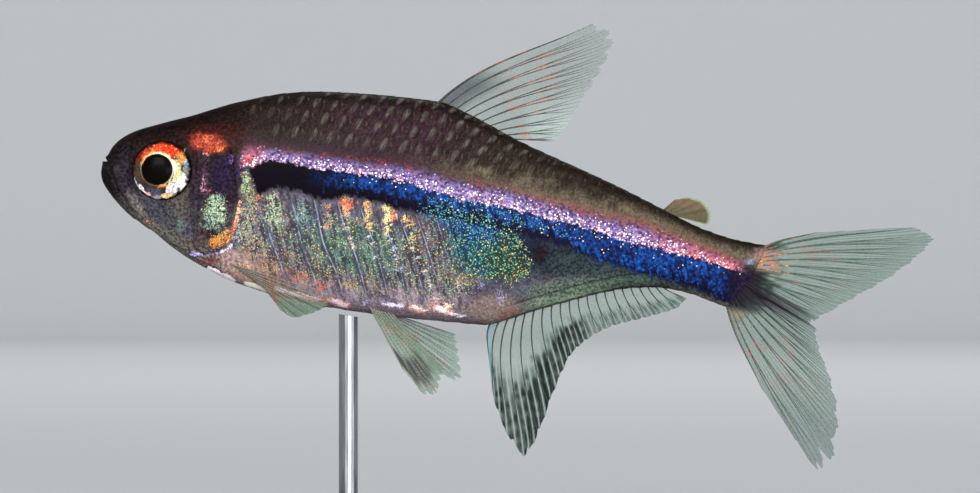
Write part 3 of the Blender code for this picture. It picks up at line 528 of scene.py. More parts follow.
def add(tree, kind, feeds=(), steps=(), **settings):
    """Adds a node with its settings and links.

    A kind is a node's type, with or without settings of its own. Feeds give inputs a value, a socket or a
    source node, in order or by name. Steps are the places and hex colours of a ramp.
    """
    if isinstance(kind, tuple):
        kind, own = kind
        settings = {**own, **settings}
    made = tree.nodes.new(kind)
    for name, value in settings.items():
        setattr(made, name, value)
    for key, value in feeds.items() if isinstance(feeds, dict) else enumerate(feeds):
        if isinstance(value, bpy.types.Node):
            value = next(socket for socket in value.outputs if socket.enabled)
        if isinstance(value, bpy.types.NodeSocket):
            tree.links.new(value, made.inputs[key])
        else:
            made.inputs[key].default_value = value
    for k, (place, hex_code) in enumerate(steps):
        elements = made.color_ramp.elements
        element = elements[k] if k < 2 else elements.new(1.0)
        element.position = place
        element.color = colour(hex_code)
    return made


def new_material(name):
    """An empty material and its node tree."""
    made = bpy.data.materials.new(name)
    made.use_nodes = True
    made.node_tree.nodes.clear()
    return made, made.node_tree


def place_in_fish(tree):
    """Places on the fish in its own millimetres, from the object's coordinates."""
    place = add(tree, "ShaderNodeTexCoord").outputs["Object"]
    feeds = {
        "Vector": place,
        "Location": SNOUT * MM,
        "Rotation": (0.0, math.radians(PITCH_DEG), 0.0),
        "Scale": (MM, MM, MM),
    }
    return add(tree, "ShaderNodeMapping", feeds, vector_type="TEXTURE").outputs[0]


def finish_material(tree, feeds):
    """Ends a material in one surface with these inputs."""
    shader = add(tree, "ShaderNodeBsdfPrincipled", feeds)
    add(tree, "ShaderNodeOutputMaterial", {"Surface": shader})


def paint_coats(tree, under, coats):
    """Lays coats over one another: how much of each shows, its strength, and its hex code or socket."""
    for amount, strength, over in coats:
        if strength < 1:
            amount = all_of(tree, amount, strength)
        if isinstance(over, str):
            over = colour(over)
        under = add(tree, "ShaderNodeMix", {0: amount, 6: under, 7: over}, data_type="RGBA").outputs[2]
    return under


# Body skin


def head_relief(places):
    """How far the features of the head stand out of its smooth form."""
    relief = np.zeros(places.shape[:-1])
    mouth_line = smooth_through(np.linspace(0, 1, len(MOUTH)), MOUTH)(np.linspace(0, 1, 26))
    away, along = from_line(places, mouth_line)
    open_share = 1 - rise(along, 0.90, 1.0)
    relief -= 0.24 * ridge(away, 0.050) * open_share
    relief += 0.09 * ridge(away - 0.19, 0.11) * (1 - rise(along, 0.7, 1.0))
    jaw_line = smooth_through(np.linspace(0, 1, len(JAW_BONE)), JAW_BONE)(np.linspace(0, 1, 16))
    away, along = from_line(places, jaw_line)
    half = 0.10 + 0.20 * np.sin(np.clip(along, 0.02, 0.98) * math.pi) ** 0.6
    relief += 0.085 * (1 - rise(away, half - 0.06, half + 0.03))
    for station, height, radius in NOSTRILS:
        away = np.hypot(places[..., 0] - station, places[..., 1] - height)
        relief += 0.05 * ridge(away - radius * 1.15, 0.05) - 0.17 * (1 - rise(away, radius * 0.55, radius))
    from_eye = np.hypot(places[..., 0] - EYE[0], places[..., 1] - EYE[1])
    relief -= 0.78 * (1 - rise(from_eye, ORBIT_RADIUS - 0.16, ORBIT_RADIUS + 0.02))
    relief += 0.018 * ridge(from_eye - ORBIT_RADIUS - 0.12, 0.12)
    away, _ = from_line(places, CHEEK_EDGE)
    relief -= 0.055 * ridge(away, 0.07)
    for seam in CHEEK_SEAMS:
        away, _ = from_line(places, seam)
        relief -= 0.030 * ridge(away, 0.05)
    for line in GILL_RAYS:
        away, _ = from_line(places, line)
        relief -= 0.055 * ridge(away, 0.06)
    deep = depth_inside(places, rounded_outline(GILL_COVER, 56))
    relief += 0.07 * rise(deep, -0.02, 0.10)
    relief -= 0.035 * ridge(deep - 0.55, 0.08) * rise(places[..., 1], -3.2, -2.4)
    behind = np.maximum(rise(places[..., 0], 7.0, 7.7), rise(-places[..., 1], 3.0, 3.6))
    relief -= (0.04 + 0.12 * behind) * ridge(deep + 0.11, 0.075)
    away, along = from_line(places, SHOULDER_BONE)
    relief += 0.05 * ridge(away, 0.15) * (1 - rise(along, 0.85, 1.0))
    return relief


def body_relief(points):
    """The shallow ribs and muscle bands behind the head."""
    station, height = points[..., 0], points[..., 2]
    ribs = np.cos(2 * math.pi * (station + 0.47 * height - 12.2) / 1.5)
    on_flank = rise(station, 10, 12) * (1 - rise(station, 23, 26)) * (1 - rise(height, -0.6, 0.4))
    above_middle = np.abs(height - middle_height(station))
    bands = np.cos(2 * math.pi * (station - 0.7 * above_middle) / 1.12)
    on_muscle = rise(station, 24, 27) + rise(height, 3.2, 3.8) * (1 - rise(station, 24, 27))
    return 0.018 * ribs * on_flank + 0.008 * bands * on_muscle * rise(station, 10, 12)


def skin_stations():
    """Stations of the skin's rings, closest on the snout and close on the head."""
    snout = 0.03 + 2.1 * np.linspace(0, 1, 52) ** 1.6
    head = np.arange(2.19, 9.5, 0.056)
    body = np.linspace(9.55, STANDARD_LENGTH, 232)
    return np.concatenate([snout, head, body])


def outward_on_grid(points):
    """Outward directions on a grid of rings."""
    along = np.gradient(points, axis=0)
    around = np.roll(points, -1, axis=1) - np.roll(points, 1, axis=1)
    outward = np.cross(along, around)
    return outward / np.linalg.norm(outward, axis=-1, keepdims=True)


def fish_skin():
    """One skin from lips to tail base, with mouth, nostrils, orbits and gill covers in its surface."""
    stations = skin_stations()
    angles = 2 * math.pi * np.arange(SKIN_AROUND) / SKIN_AROUND
    points = body_surface(stations[:, None], angles[None, :])
    relief = head_relief(points[..., [0, 2]]) * rise(points[..., 0], 9.8, 9.4) + body_relief(points)
    points = points + outward_on_grid(points) * (relief - COAT_DEPTH)[..., None]
    rings = len(stations)
    index, following, faces = tube(rings, SKIN_AROUND)
    flat = points.reshape(-1, 3)
    snout = points[0].mean(0) - (0.02, 0, 0)
    faces += [(len(flat), index[0, k], following[0, k]) for k in range(SKIN_AROUND)]
    last = index[-1]
    for k in range(SKIN_AROUND // 2):
        corners = list(dict.fromkeys((last[k], last[-k], last[-k - 1], last[k + 1])))
        faces.append(tuple(reversed(corners)))
    made = mesh_object("fish_skin", np.concatenate([flat, [snout]]), faces)
    shares = np.stack(np.meshgrid(np.linspace(0.02, 0.98, rings), angles / (2 * math.pi), indexing="ij"), -1)
    keep_unwrap(made.data, shares.reshape(-1, 2))
    add_markings(made.data)
    return made


def keep_unwrap(mesh, shares):
    """Keeps an unwrap of the skin by ring and angle, with the seam along the back left open."""
    layer = mesh.uv_layers.new(name="OFBake")
    corners = np.empty(len(mesh.loops), np.int32)
    mesh.loops.foreach_get("vertex_index", corners)
    shares = np.concatenate([shares, [[0.0, 0.5]]])
    uv = shares[corners]
    starts = np.empty(len(mesh.polygons), np.int32)
    totals = np.empty(len(mesh.polygons), np.int32)
    mesh.polygons.foreach_get("loop_start", starts)
    mesh.polygons.foreach_get("loop_total", totals)
    face_of = np.repeat(np.arange(len(totals)), totals)
    highest = np.maximum.reduceat(uv[:, 1], starts)
    wraps = (highest[face_of] > 0.9) & (uv[:, 1] < 0.1)
    uv[wraps, 1] += 1.0
    uv[:, 1] *= 0.99
    layer.uv.foreach_set("vector", uv.astype(np.float32).ravel())


# Markings, the same on skin and scales


def ground_colour(points):
    """The soft ground of the markings at points of the fish."""
    station, height = points[..., 0], points[..., 2]
    back, belly = back_height(station), belly_height(station)
    share = (height - belly) / (back - belly)
    ragged = (cloud(points, 0.5, 3) - 0.5) * 0.5
    over_fin = rise(station, 26, 29) * rise(height - belly, 1.1, 0.6) * rise(station, 35, 32)
    flank = laid_over(
        plain(points, "4a4652"),
        ("544844", 0.7 * rise(cloud(points, 1.1, 5), 0.45, 0.7)),
        ("786870", 0.9 * rise(share, 0.20, 0.04) * rise(station, 26, 23)),
        ("71826a", 0.9 * over_fin),
        ("20272b", rise(station, 27.0, 28.5) * rise(share, 0.12, 0.28)),
        ("2c3334", rise(station, 31, 34) * rise(share, 0.32, 0.14)),
        ("4e4a42", rise(station, 33, 36) * rise(share, 0.06, 0.0)),
    )
    # Dark along the ridge, purplish above the stripe in front, tan above it towards the tail
    above_stripe = height - stripe_top(station)
    back_paint = laid_over(
        plain(points, "251c19"),
        ("2b1f24", rise(above_stripe, 1.0, 0.1) * rise(station, 26, 20)),
        ("32222a", 0.55 * rise(station, 11, 16) * rise(station, 25, 20)),
        ("29221c", 0.7 * rise(station, 19, 25)),
        ("5c5242", 0.92 * rise(station, 17, 27) * rise(above_stripe + 2.6 * ragged, 1.5, 0.3)),
        ("140e0b", 0.9 * rise(back - height + ragged, 1.4 - station * 0.016, 0.10)),
    )
    # Near black above, grey cheek, pale throat
    head_paint = laid_over(
        plain(points, "1a1210"),
        ("261d22", rise(height + ragged, 2.0, 0.2)),
        ("3b3736", rise(height + ragged, -0.4, -1.8)),
        ("5a554e", rise(share, 0.20, 0.04) * rise(station, 2.0, 3.6)),
    )
    on_back = rise(above_stripe + ragged * 0.4, -0.35, 0.05)[..., None]
    on_head = rise(station + ragged, 9.3, 8.3)[..., None]
    return (flank * (1 - on_back) + back_paint * on_back) * (1 - on_head) + head_paint * on_head


def blended(amounts, values):
    """The strongest of several amounts at each place, and their values' mean weighed by amount squared."""
    amounts = np.array(amounts)
    weights = amounts**2 + 1e-9
    return amounts.max(0), np.tensordot(weights / weights.sum(0), np.array(values), (0, 0))


def add_markings(mesh):
    """Keeps the markings on a mesh: ground, shine, place in stripe, band and ribs, and glitter."""
    points = fish_places(mesh)
    station, height = points[:, 0], points[:, 2]
    flat = points[:, [0, 2]]
    shake = np.stack([cloud(points, 0.28, 11), cloud(points, 0.28, 12)], -1) - 0.5
    places = flat + 0.30 * shake
    ground = ground_colour(points)
    for *oval, hex_code, strength in PIGMENT:
        ground = laid_over(ground, (hex_code, patch_amount(places, *oval) * strength))
    shines = [(patch_amount(places, *oval) * strength, tone(hex_code)) for *oval, hex_code, strength in SHINE]
    for line, wide, narrow, hex_code, strength in SHINE_AND_HIGHLIGHT_LINES:
        away, along = from_line(flat + 0.12 * shake, line)
        half = wide + (narrow - wide) * along
        shines.append((rise(away, 1.6 * half, 0.4 * half) * strength, tone(hex_code)))
    shine_amount, shine = blended(*zip(*shines))
    specks = [
        (patch_amount(places, *spot, softness=0.30) * amount, warmth)
        for *spot, amount, warmth in GLITTER
    ]
    glitter, warmth = blended(*zip(*specks))
    low, top = stripe_bottom(station), stripe_top(station)
    ragged_end = station + 0.5 * (cloud(points, 0.35, 14) - 0.5)
    sloped = station + RIB_LEAN * height + 0.35 * (cloud(points, 2.4, 13) - 0.5)
    keep_colours(mesh, "ground", ground)
    keep_colours(mesh, "shine", shine)
    numbers = {
        "shine_amount": shine_amount,
        "in_stripe": (height - low) / (top - low),
        "stripe_run": rise(station, 8.55, 9.0) * rise(ragged_end, 40.9, 39.8),
        "over_band": height - band_bottom(station),
        "band_run": rise(station, 9.15, 9.45) * rise(station, 40.8, 39.8),
        "rib_run": np.interp(sloped, RIB_PLACES, np.arange(len(RIB_PLACES))),
        "glitter": glitter,
        "warmth": warmth,
        "over_belly": height - belly_height(station),
    }
    for name, values in numbers.items():
        keep_numbers(mesh, name, values)


def grains(tree, place, apart, shift):
    """Small grains so many millimetres apart: how far away each place's grain is, and two random numbers."""
    moved = add(tree, "ShaderNodeVectorMath", (place, (shift, shift * 1.7, shift * 0.6)), operation="ADD")
    cells = add(tree, "ShaderNodeTexVoronoi", {"Vector": moved, "Scale": 1 / apart, "Randomness": 1.0})
    parts = add(tree, "ShaderNodeSeparateColor", (cells.outputs["Color"],))
    return cells.outputs["Distance"], parts.outputs[0], parts.outputs[1]


def grain_cover(tree, distance, lot, amount, size):
    """Where grains show: inside their size, and only as many as the amount asks for."""
    chosen = add(tree, MATH, (amount, lot), operation="GREATER_THAN")
    return all_of(tree, (distance, size, size * 0.5), chosen)


def all_of(tree, *amounts):
    """How strongly several amounts hold together. One in brackets is a value that fades between limits."""
    amounts = [add(tree, FADE, amount) if isinstance(amount, tuple) else amount for amount in amounts]
    result = amounts[0]
    for amount in amounts[1:]:
        result = add(tree, MATH, (result, amount), operation="MULTIPLY").outputs[0]
    return result


# Sizes of the skin's patterns in millimetres: clouds and flecks of pigment, wisps along the ribs, and
# reflecting grains. The real grains are finer still, so they are drawn as coarse as they need to show.
CLOUD_MM = 0.70
FLECK_MM = 0.18
SPECKLE_MM = 0.085
WISP_MM = (0.22, 0.70, 1.00)
HATCH_MM = (0.11, 0.50, 0.55)
GLITTER_MM = 0.150
DUST_MM = 0.11
STRIPE_GRAIN_MM = 0.125
STRIPE_SPARK_MM = 0.20
PIGMENT_DOT_MM = 0.21
BLUE_BAR_MM = 1.15
FIN_DOT_MM = 0.12


# Numbers kept on the points of skin and scales, which their material reads
SKIN_NUMBERS = (
    "shine_amount",
    "in_stripe",
    "stripe_run",
    "over_band",
    "band_run",
    "rib_run",
    "glitter",
    "warmth",
    "over_belly",
)


def slanted_noise(tree, at, lean, sizes, detail):
    """Noise drawn out to a size in each direction, along lines that lean back by a share of their drop."""
    leaning = add(
        tree, "ShaderNodeCombineXYZ", (add(tree, SCALED, (at.height, lean, at.station)), at.side, at.height)
    )
    drawn = add(tree, "ShaderNodeVectorMath", (leaning, tuple(1 / w for w in sizes)), operation="MULTIPLY")
    return add(tree, NOISE, {"Vector": drawn, "Scale": 1.0, "Detail": detail}).outputs["Fac"]


def skin_places(tree):
    """What the coats of skin and scales go by: the place on the fish, the kept numbers, and noises."""
    at = SimpleNamespace(place=place_in_fish(tree))
    at.station, at.side, at.height = add(tree, XYZ, (at.place,)).outputs
    for name in SKIN_NUMBERS:
        setattr(at, name, add(tree, KEPT, attribute_name=name).outputs["Fac"])
    at.coarse, at.fine, at.speckle = (
        add(tree, NOISE, {"Vector": at.place, "Scale": 1 / size, "Detail": detail}).outputs["Fac"]
        for size, detail in ((CLOUD_MM, 3.0), (FLECK_MM, 3.0), (SPECKLE_MM, 1.0))
    )
    at.ragged = add(tree, SCALED, (at.fine, 0.7, add(tree, SCALED, (at.coarse, 0.6, -0.65))))
    at.ragged_stripe = add(tree, SCALED, (at.ragged, 0.9, at.in_stripe))
    at.wisps = slanted_noise(tree, at, 0.40, WISP_MM, 4.0)
    at.dense = add(tree, FADE, (at.glitter, 0.62, 0.95))
    return at


def ground_light(tree, at):
    """How light the ground is: wisps on the flank, veins on head and tail stem, specks everywhere."""
    fine_light = add(tree, FADE, (at.fine, 0.30, 0.70, 0.70, 1.34))
    vein_light = add(tree, FADE, (at.fine, 0.38, 0.62, 0.62, 1.65))
    wisp_light = all_of(tree, (at.wisps, 0.36, 0.66, 0.55, 1.65), fine_light)
    low = add(tree, FADE, (at.in_stripe, 0.1, -0.3))
    on_flank = all_of(tree, low, (at.over_belly, 0.3, 1.3), (at.station, 8.6, 10.5), (at.station, 25.5, 22.5))
    on_stem = all_of(tree, low, (at.station, 26.5, 29.0))
    on_head = add(tree, FADE, (at.station, 9.6, 8.4))
    light = fine_light
    for share, over in ((on_flank, wisp_light), (on_stem, vein_light), (on_head, vein_light)):
        light = add(tree, BETWEEN, (share, 0.0, 1.0, light, over))
    return all_of(tree, light, (at.speckle, 0.32, 0.68, 0.78, 1.26))


def rib_coats(tree, at):
    """Ribs that show through the flank: bluish shade, then pale slanted lines in it."""
    over_ribs = all_of(
        tree, (at.station, 10.2, 11.6), (at.station, 23.5, 20.5), (at.height, 0.3, -0.4),
        (at.height, -5.6, -4.8),
    )
    share = add(tree, MATH, (add(tree, SCALED, (at.rib_run, 1.0, 0.5)),), operation="FRACT")
    away = add(tree, MATH, (add(tree, SCALED, (share, 1.0, -0.5)),), operation="ABSOLUTE")
    line = all_of(tree, (away, 0.046, 0.004), over_ribs, (at.coarse, 0.38, 0.62, 0.15, 1.0))
    return (all_of(tree, (away, 0.24, 0.06), over_ribs), 0.55, "373a4c"), (line, 0.60, "b6bac4")


def belly_lines(tree, at):
    """Two thin dark lines that bound the clear strip of muscle over the anal fin."""
    off_line = add(tree, SCALED, (at.ragged, 0.4, add(tree, SCALED, (at.over_belly, 1.0, -0.95))))
    off_line = add(tree, MATH, (off_line,), operation="ABSOLUTE")
    lines = (add(tree, FADE, (off_line, 0.10, 0.01)), add(tree, FADE, (at.over_belly, 0.22, 0.08)))
    return all_of(tree, add(tree, LARGER, lines), (at.station, 25.4, 27.4), (at.station, 38.0, 35.5))


def cheek_dots(tree, at):
    """Black pigment dots on cheek and head."""
    away, lot, _ = grains(tree, at.place, PIGMENT_DOT_MM, 2.2)
    return all_of(
        tree, grain_cover(tree, away, lot, 0.6, 0.36), (at.station, 9.0, 8.2),
        (at.height, 2.0, 1.2, 0.3, 1.0),
    )


def shine_coats(tree, at):
    """Glows of mirror-like cells and painted belly highlights, broken into flecks and wisps, and the sparks
    in them.
    """
    broken = add(tree, SCALED, (at.speckle, 1.5, add(tree, SCALED, (at.wisps, 0.8, -1.85))))
    broken = add(tree, SCALED, (at.fine, 1.4, broken))
    glow = add(tree, SCALED, (at.shine_amount, 0.62, broken))
    glow = all_of(tree, (glow, 0.05, 0.85), (at.shine_amount, 0.03, 0.45))
    tint = add(tree, KEPT, attribute_name="shine").outputs["Color"]
    light = add(tree, FADE, (at.speckle, 0.30, 0.68, 0.60, 1.15))
    # Amounts over 1.1 come only from the painted highlights along throat and belly: there the speckle does
    # not darken the glow's tint
    light = add(tree, LARGER, (light, add(tree, FADE, (at.shine_amount, 1.1, 1.6))))
    away, lot, _ = grains(tree, at.place, STRIPE_GRAIN_MM, 9.1)
    spark = all_of(tree, grain_cover(tree, away, lot, 0.14, 0.42), glow)
    spark_tint = paint_coats(tree, tint, [(0.55, 1.0, "fffaf4")])
    return (glow, 1.0, add(tree, SHADED, {0: 1.0, 6: tint, 7: light})), (spark, 1.0, spark_tint)


def stripe_coats(tree, at):
    """Shining stripe: violet ground, with pink, white and orange grains that crowd towards its lower edge."""
    stripe = all_of(tree, (at.ragged_stripe, -0.14, 0.02), (at.ragged_stripe, 1.15, 0.66), at.stripe_run)
    tail_warmth = add(tree, FADE, (at.station, 33.0, 38.5))
    warm_end = add(tree, LARGER, (tail_warmth, add(tree, FADE, (at.station, 10.8, 9.0))))
    violet_steps = ((0.32, "2c2238"), (0.44, "523e62"), (0.56, "7c6692"), (0.70, "a68eb8"))
    warm_steps = ((0.32, "4c2834"), (0.50, "98505c"), (0.70, "d87868"))
    violet = add(tree, RAMP, (at.fine,), steps=violet_steps)
    warm_violet = add(tree, RAMP, (at.fine,), steps=warm_steps)
    upper_half = add(tree, FADE, (at.ragged_stripe, 0.40, 1.05, 0.0, 0.60))
    stripe_ground = paint_coats(tree, violet, [(warm_end, 0.8, warm_violet), (upper_half, 1.0, "30223a")])
    low_in_stripe = add(tree, FADE, (at.ragged_stripe, 0.70, 0.12))
    crowd = all_of(tree, add(tree, SCALED, (low_in_stripe, 0.92, 0.08)), (at.coarse, 0.40, 0.60, 0.40, 1.0))
    away, lot, hue = grains(tree, at.place, STRIPE_GRAIN_MM, 3.1)
    grain = all_of(tree, stripe, grain_cover(tree, away, lot, crowd, 0.52))
    grain_steps = (
        (0.0, "e85840"),
        (0.05, "f08c80"),
        (0.14, "fcc0c0"),
        (0.32, "fff0f2"),
        (0.52, "f4d0e6"),
        (0.76, "c0ace4"),
        (1.0, "9484d0"),
    )
    grain_tint = add(tree, RAMP, (add(tree, SCALED, (warm_end, -0.45, hue)),), steps=grain_steps)
    away, lot, _ = grains(tree, at.place, STRIPE_SPARK_MM, 7.7)
    toward_tail = add(tree, FADE, (at.station, 18.0, 26.0))
    spark_crowd = all_of(tree, low_in_stripe, add(tree, SCALED, (toward_tail, 0.12, 0.32)))
    spark = all_of(tree, stripe, grain_cover(tree, away, lot, spark_crowd, 0.42))
    # A few bright grains stray down into the band, and red ones up over the stripe's upper edge
    away, lot, _ = grains(tree, at.place, STRIPE_GRAIN_MM, 15.9)
    stray_lot = all_of(
        tree, (at.in_stripe, -1.3, 0.1, 0.0, 0.10), (at.in_stripe, 0.4, 0.1), (at.station, 11.0, 16.0),
        at.stripe_run,
    )
    stray = grain_cover(tree, away, lot, stray_lot, 0.44)
    away, lot, _ = grains(tree, at.place, STRIPE_GRAIN_MM, 12.3)
    fringe_grains = grain_cover(tree, away, lot, 0.62, 0.62)
    rim = (at.ragged_stripe, 0.55, 0.85), (at.ragged_stripe, 1.55, 1.05)
    fringe = all_of(tree, *rim, (at.coarse, 0.44, 0.60), fringe_grains, at.stripe_run)
    rim = (at.ragged_stripe, 0.62, 0.90), (at.ragged_stripe, 1.42, 1.00)
    salmon = all_of(tree, *rim, (at.station, 23.0, 30.0), (at.fine, 0.38, 0.58, 0.20, 1.0), at.stripe_run)
    haze = all_of(tree, (at.in_stripe, 0.60, 0.95), (at.in_stripe, 1.75, 1.05), at.stripe_run)
    return grain, [
        (haze, 0.24, "4c2a34"),
        (stripe, 1.0, stripe_ground),
        (salmon, 0.38, "98544a"),
        (fringe, 0.62, "92403a"),
        (grain, 1.0, grain_tint),
        (spark, 1.0, "fff4fa"),
        (stray, 1.0, "f4dcb0"),
    ]


def band_coat(tree, at):
    """Dark band under the stripe: black-violet at the shoulder, oblique cobalt patches towards the tail."""
    over_band = add(tree, SCALED, (at.ragged, 0.75, at.over_band))
    over_band = add(tree, SCALED, (at.wisps, 0.9, add(tree, SCALED, (over_band, 1.0, -0.45))))
    band = all_of(tree, (over_band, -0.15, 0.20), (at.ragged_stripe, 0.08, -0.08), at.band_run)
    slant = add(tree, SCALED, (at.height, -0.35, at.station))
    wave = add(tree, SCALED, (slant, 2 * math.pi / BLUE_BAR_MM, all_of(tree, at.coarse, 15.0)))
    wave = add(tree, MATH, (wave,), operation="SINE")
    bars = all_of(tree, (wave, -1.0, 0.6, 0.22, 1.0), (at.fine, 0.30, 0.48, 0.35, 1.0))
    clear = (add(tree, FADE, (at.ragged_stripe, -0.02, -0.45)), add(tree, FADE, (at.station, 17, 21)))
    bars = all_of(tree, bars, add(tree, LARGER, clear))
    mottle = all_of(
        tree, (at.fine, 0.34, 0.58, 0.35, 1.0), (at.wisps, 0.38, 0.54, 0.25, 1.0),
        (at.coarse, 0.36, 0.54, 0.45, 1.0),
    )
    lit = add(tree, BETWEEN, (at.station, 22.0, 26.0, bars, mottle))
    lowest_blue = add(tree, FADE, (at.station, 27.5, 32.0, 0.70, 0.15))
    lowest_blue = add(tree, SCALED, (add(tree, FADE, (at.station, 34.0, 38.0)), 0.30, lowest_blue))
    over_dark = add(tree, MATH, (over_band, lowest_blue), operation="SUBTRACT")
    over_dark = add(tree, SCALED, (at.wisps, 1.2, add(tree, SCALED, (over_dark, 1.0, -0.6))))
    blue = all_of(tree, lit, (at.station, 12.6, 17.0), (at.station, 40.2, 39.0), (over_dark, -0.25, 0.35))
    # Less blue shows under dense glitter
    blue = all_of(tree, blue, add(tree, SCALED, (at.dense, -0.55, 1.0)))
    cobalt_steps = ((0.34, "0c2458"), (0.50, "133a7e"), (0.62, "19488c"), (0.74, "2660aa"))
    cobalt = add(tree, RAMP, (at.fine,), steps=cobalt_steps)
    dark = add(
        tree, RAMP, (add(tree, FADE, (at.station, 15.0, 28.0)),), steps=((0.0, "0b070f"), (1.0, "100c22"))
    )
    return band, 1.0, paint_coats(tree, dark, [(blue, 1.0, cobalt)])


def glitter_coats(tree, at, rib_shade):
    """Dust, then glitter, over flank and gill cover, with less of both in the shade of the ribs."""
    clumps = add(tree, BETWEEN, (at.dense, 0.0, 1.0, add(tree, SCALED, (at.wisps, 2.4, -0.20)), 1.05))
    amount = all_of(tree, at.glitter, add(tree, SCALED, (rib_shade, -0.75, 1.0)), clumps)
    away, lot, hue = grains(tree, at.place, GLITTER_MM, 0.0)
    away = add(tree, SCALED, (at.dense, -0.02, away))
    glitter = grain_cover(tree, away, lot, all_of(tree, amount, 0.86), 0.36)
    glitter_hue = add(tree, SCALED, (hue, 0.56, add(tree, SCALED, (at.warmth, 1.0, -0.28))))
    glitter_steps = (
        (0.0, "3a80bc"),
        (0.12, "48a0ac"),
        (0.28, "68bc98"),
        (0.46, "a4cc88"),
        (0.62, "d4d480"),
        (0.76, "ecb860"),
        (0.90, "f08048"),
        (1.0, "e8543c"),
    )
    glitter_tint = add(tree, RAMP, (glitter_hue,), steps=glitter_steps)
    lot_light = add(tree, FADE, (lot, 0.0, 0.8, 1.05, 0.45))
    glitter_tint = add(tree, SHADED, {0: 1.0, 6: glitter_tint, 7: lot_light})
    away, lot, hue = grains(tree, at.place, DUST_MM, 5.3)
    dust = grain_cover(tree, away, lot, all_of(tree, amount, add(tree, SCALED, (at.dense, -1.1, 1.5))), 0.50)
    dust_hue = add(tree, SCALED, (hue, 0.6, add(tree, SCALED, (at.warmth, 1.0, -0.3))))
    dust_steps = ((0.0, "2f78a0"), (0.3, "4f9484"), (0.5, "80986c"), (0.7, "ac985e"), (1.0, "a05844"))
    return (dust, 1.0, add(tree, RAMP, (dust_hue,), steps=dust_steps)), (glitter, 1.0, glitter_tint)


def skin_material(name, on_scales):
    """Wet fish skin: dark pigment and mirror-like grains under a thin film, so it glitters and stays deep."""
    made, tree = new_material(name)
    at = skin_places(tree)
    ground = add(tree, KEPT, attribute_name="ground").outputs["Color"]
    ground = add(tree, SHADED, {0: 1.0, 6: ground, 7: ground_light(tree, at)})
    if on_scales:
        ground = scale_pattern(tree, ground, at)
    rib_shade, rib_lines = rib_coats(tree, at)
    glow, sparks = shine_coats(tree, at)
    dust, glitter = glitter_coats(tree, at, rib_shade[0])
    stripe_grain, stripe = stripe_coats(tree, at)
    lines = (belly_lines(tree, at), 0.75, "1f1a18")
    dots = (cheek_dots(tree, at), 0.8, "100d0d")
    coats = [rib_shade, lines, rib_lines, glow, dots, band_coat(tree, at), dust, glitter, sparks, *stripe]
    mirror = add(tree, LARGER, (glitter[0], stripe_grain))
    feeds = {
        "Base Color": paint_coats(tree, ground, coats),
        "Metallic": all_of(tree, mirror, 0.20),
        "Roughness": add(tree, SCALED, (at.fine, 0.25, 0.32)),
        "Normal": add(tree, "ShaderNodeBump", {"Height": at.fine, "Strength": 0.25, "Distance": 0.00003}),
        "IOR": 1.36,
        "Specular IOR Level": 0.03,
        "Coat Weight": 0.02,
        "Coat Roughness": 0.16,
        "Coat IOR": 1.34,
    }
    finish_material(tree, feeds)
    return made


def scale_pattern(tree, ground, at):
    """Each scale's own shading: a dark rim, and on the back a pale oval that leans to the tail."""
    along, across, _ = add(tree, XYZ, (add(tree, "ShaderNodeUVMap", uv_map="plate"),)).outputs
    hatching = slanted_noise(tree, at, -0.30, HATCH_MM, 2.0)
    lean = add(tree, FADE, (at.side, -0.05, 0.05, -SCALE_OVAL_LEAN, SCALE_OVAL_LEAN))
    off_middle = add(tree, SCALED, (across, 1.0, -0.5))
    x = add(tree, SCALED, (all_of(tree, off_middle, lean), 1.0, add(tree, SCALED, (along, 1.0, -0.72))))
    x = all_of(tree, x, 1 / 0.092)
    z = all_of(tree, off_middle, 1 / 0.40)
    reach = add(tree, SCALED, (z, z, all_of(tree, x, x)))
    reach = add(tree, SCALED, (at.fine, 3.0, add(tree, SCALED, (reach, 1.0, -1.5))))
    on_back = all_of(
        tree, (at.in_stripe, 1.3, 2.1), (at.station, 31.0, 24.0), (at.station, 8.5, 13.5, 0.45, 1.0)
    )
    oval = all_of(tree, (reach, 1.8, -0.3), (hatching, 0.36, 0.58, 0.25, 1.0), on_back)
    oval = all_of(tree, oval, (at.coarse, 0.38, 0.60, 0.50, 1.0))
    above = add(tree, FADE, (at.in_stripe, 1.1, 1.6))
    streaks = add(tree, FADE, (hatching, 0.34, 0.66, 0.72, 1.40))
    streaks = add(tree, BETWEEN, (on_back, 0.0, 1.0, 1.0, streaks))
    ground = add(tree, SHADED, {0: 1.0, 6: ground, 7: streaks})
    rim = all_of(tree, (along, 0.93, 0.98), above)
    inner = all_of(tree, (along, 0.80, 0.88), (along, 0.95, 0.90), above)
    return paint_coats(tree, ground, [(inner, 0.35, "150f0e"), (rim, 0.28, "6a5f54"), (oval, 1.0, "5a564c")])


# Scales


SCALE_PITCH = 1.12
TAIL_SCALE_PITCH = 0.74
SCALE_LENGTH = 1.70
SCALE_HEIGHT = 1.26
SCALE_SINKS = 0.018
SCALE_STANDS = 0.032
SCALE_CROWN = 0.012
SCALE_OVAL_LEAN = 0.20
# Width in the unwrapped coat of the patch that one scale gets
UNWRAP_PATCH = 0.003


def scale_pitch(station):
    """The distance from one scale to the next, less towards the tail."""
    return SCALE_PITCH + (TAIL_SCALE_PITCH - SCALE_PITCH) * rise(station, 20, 40)


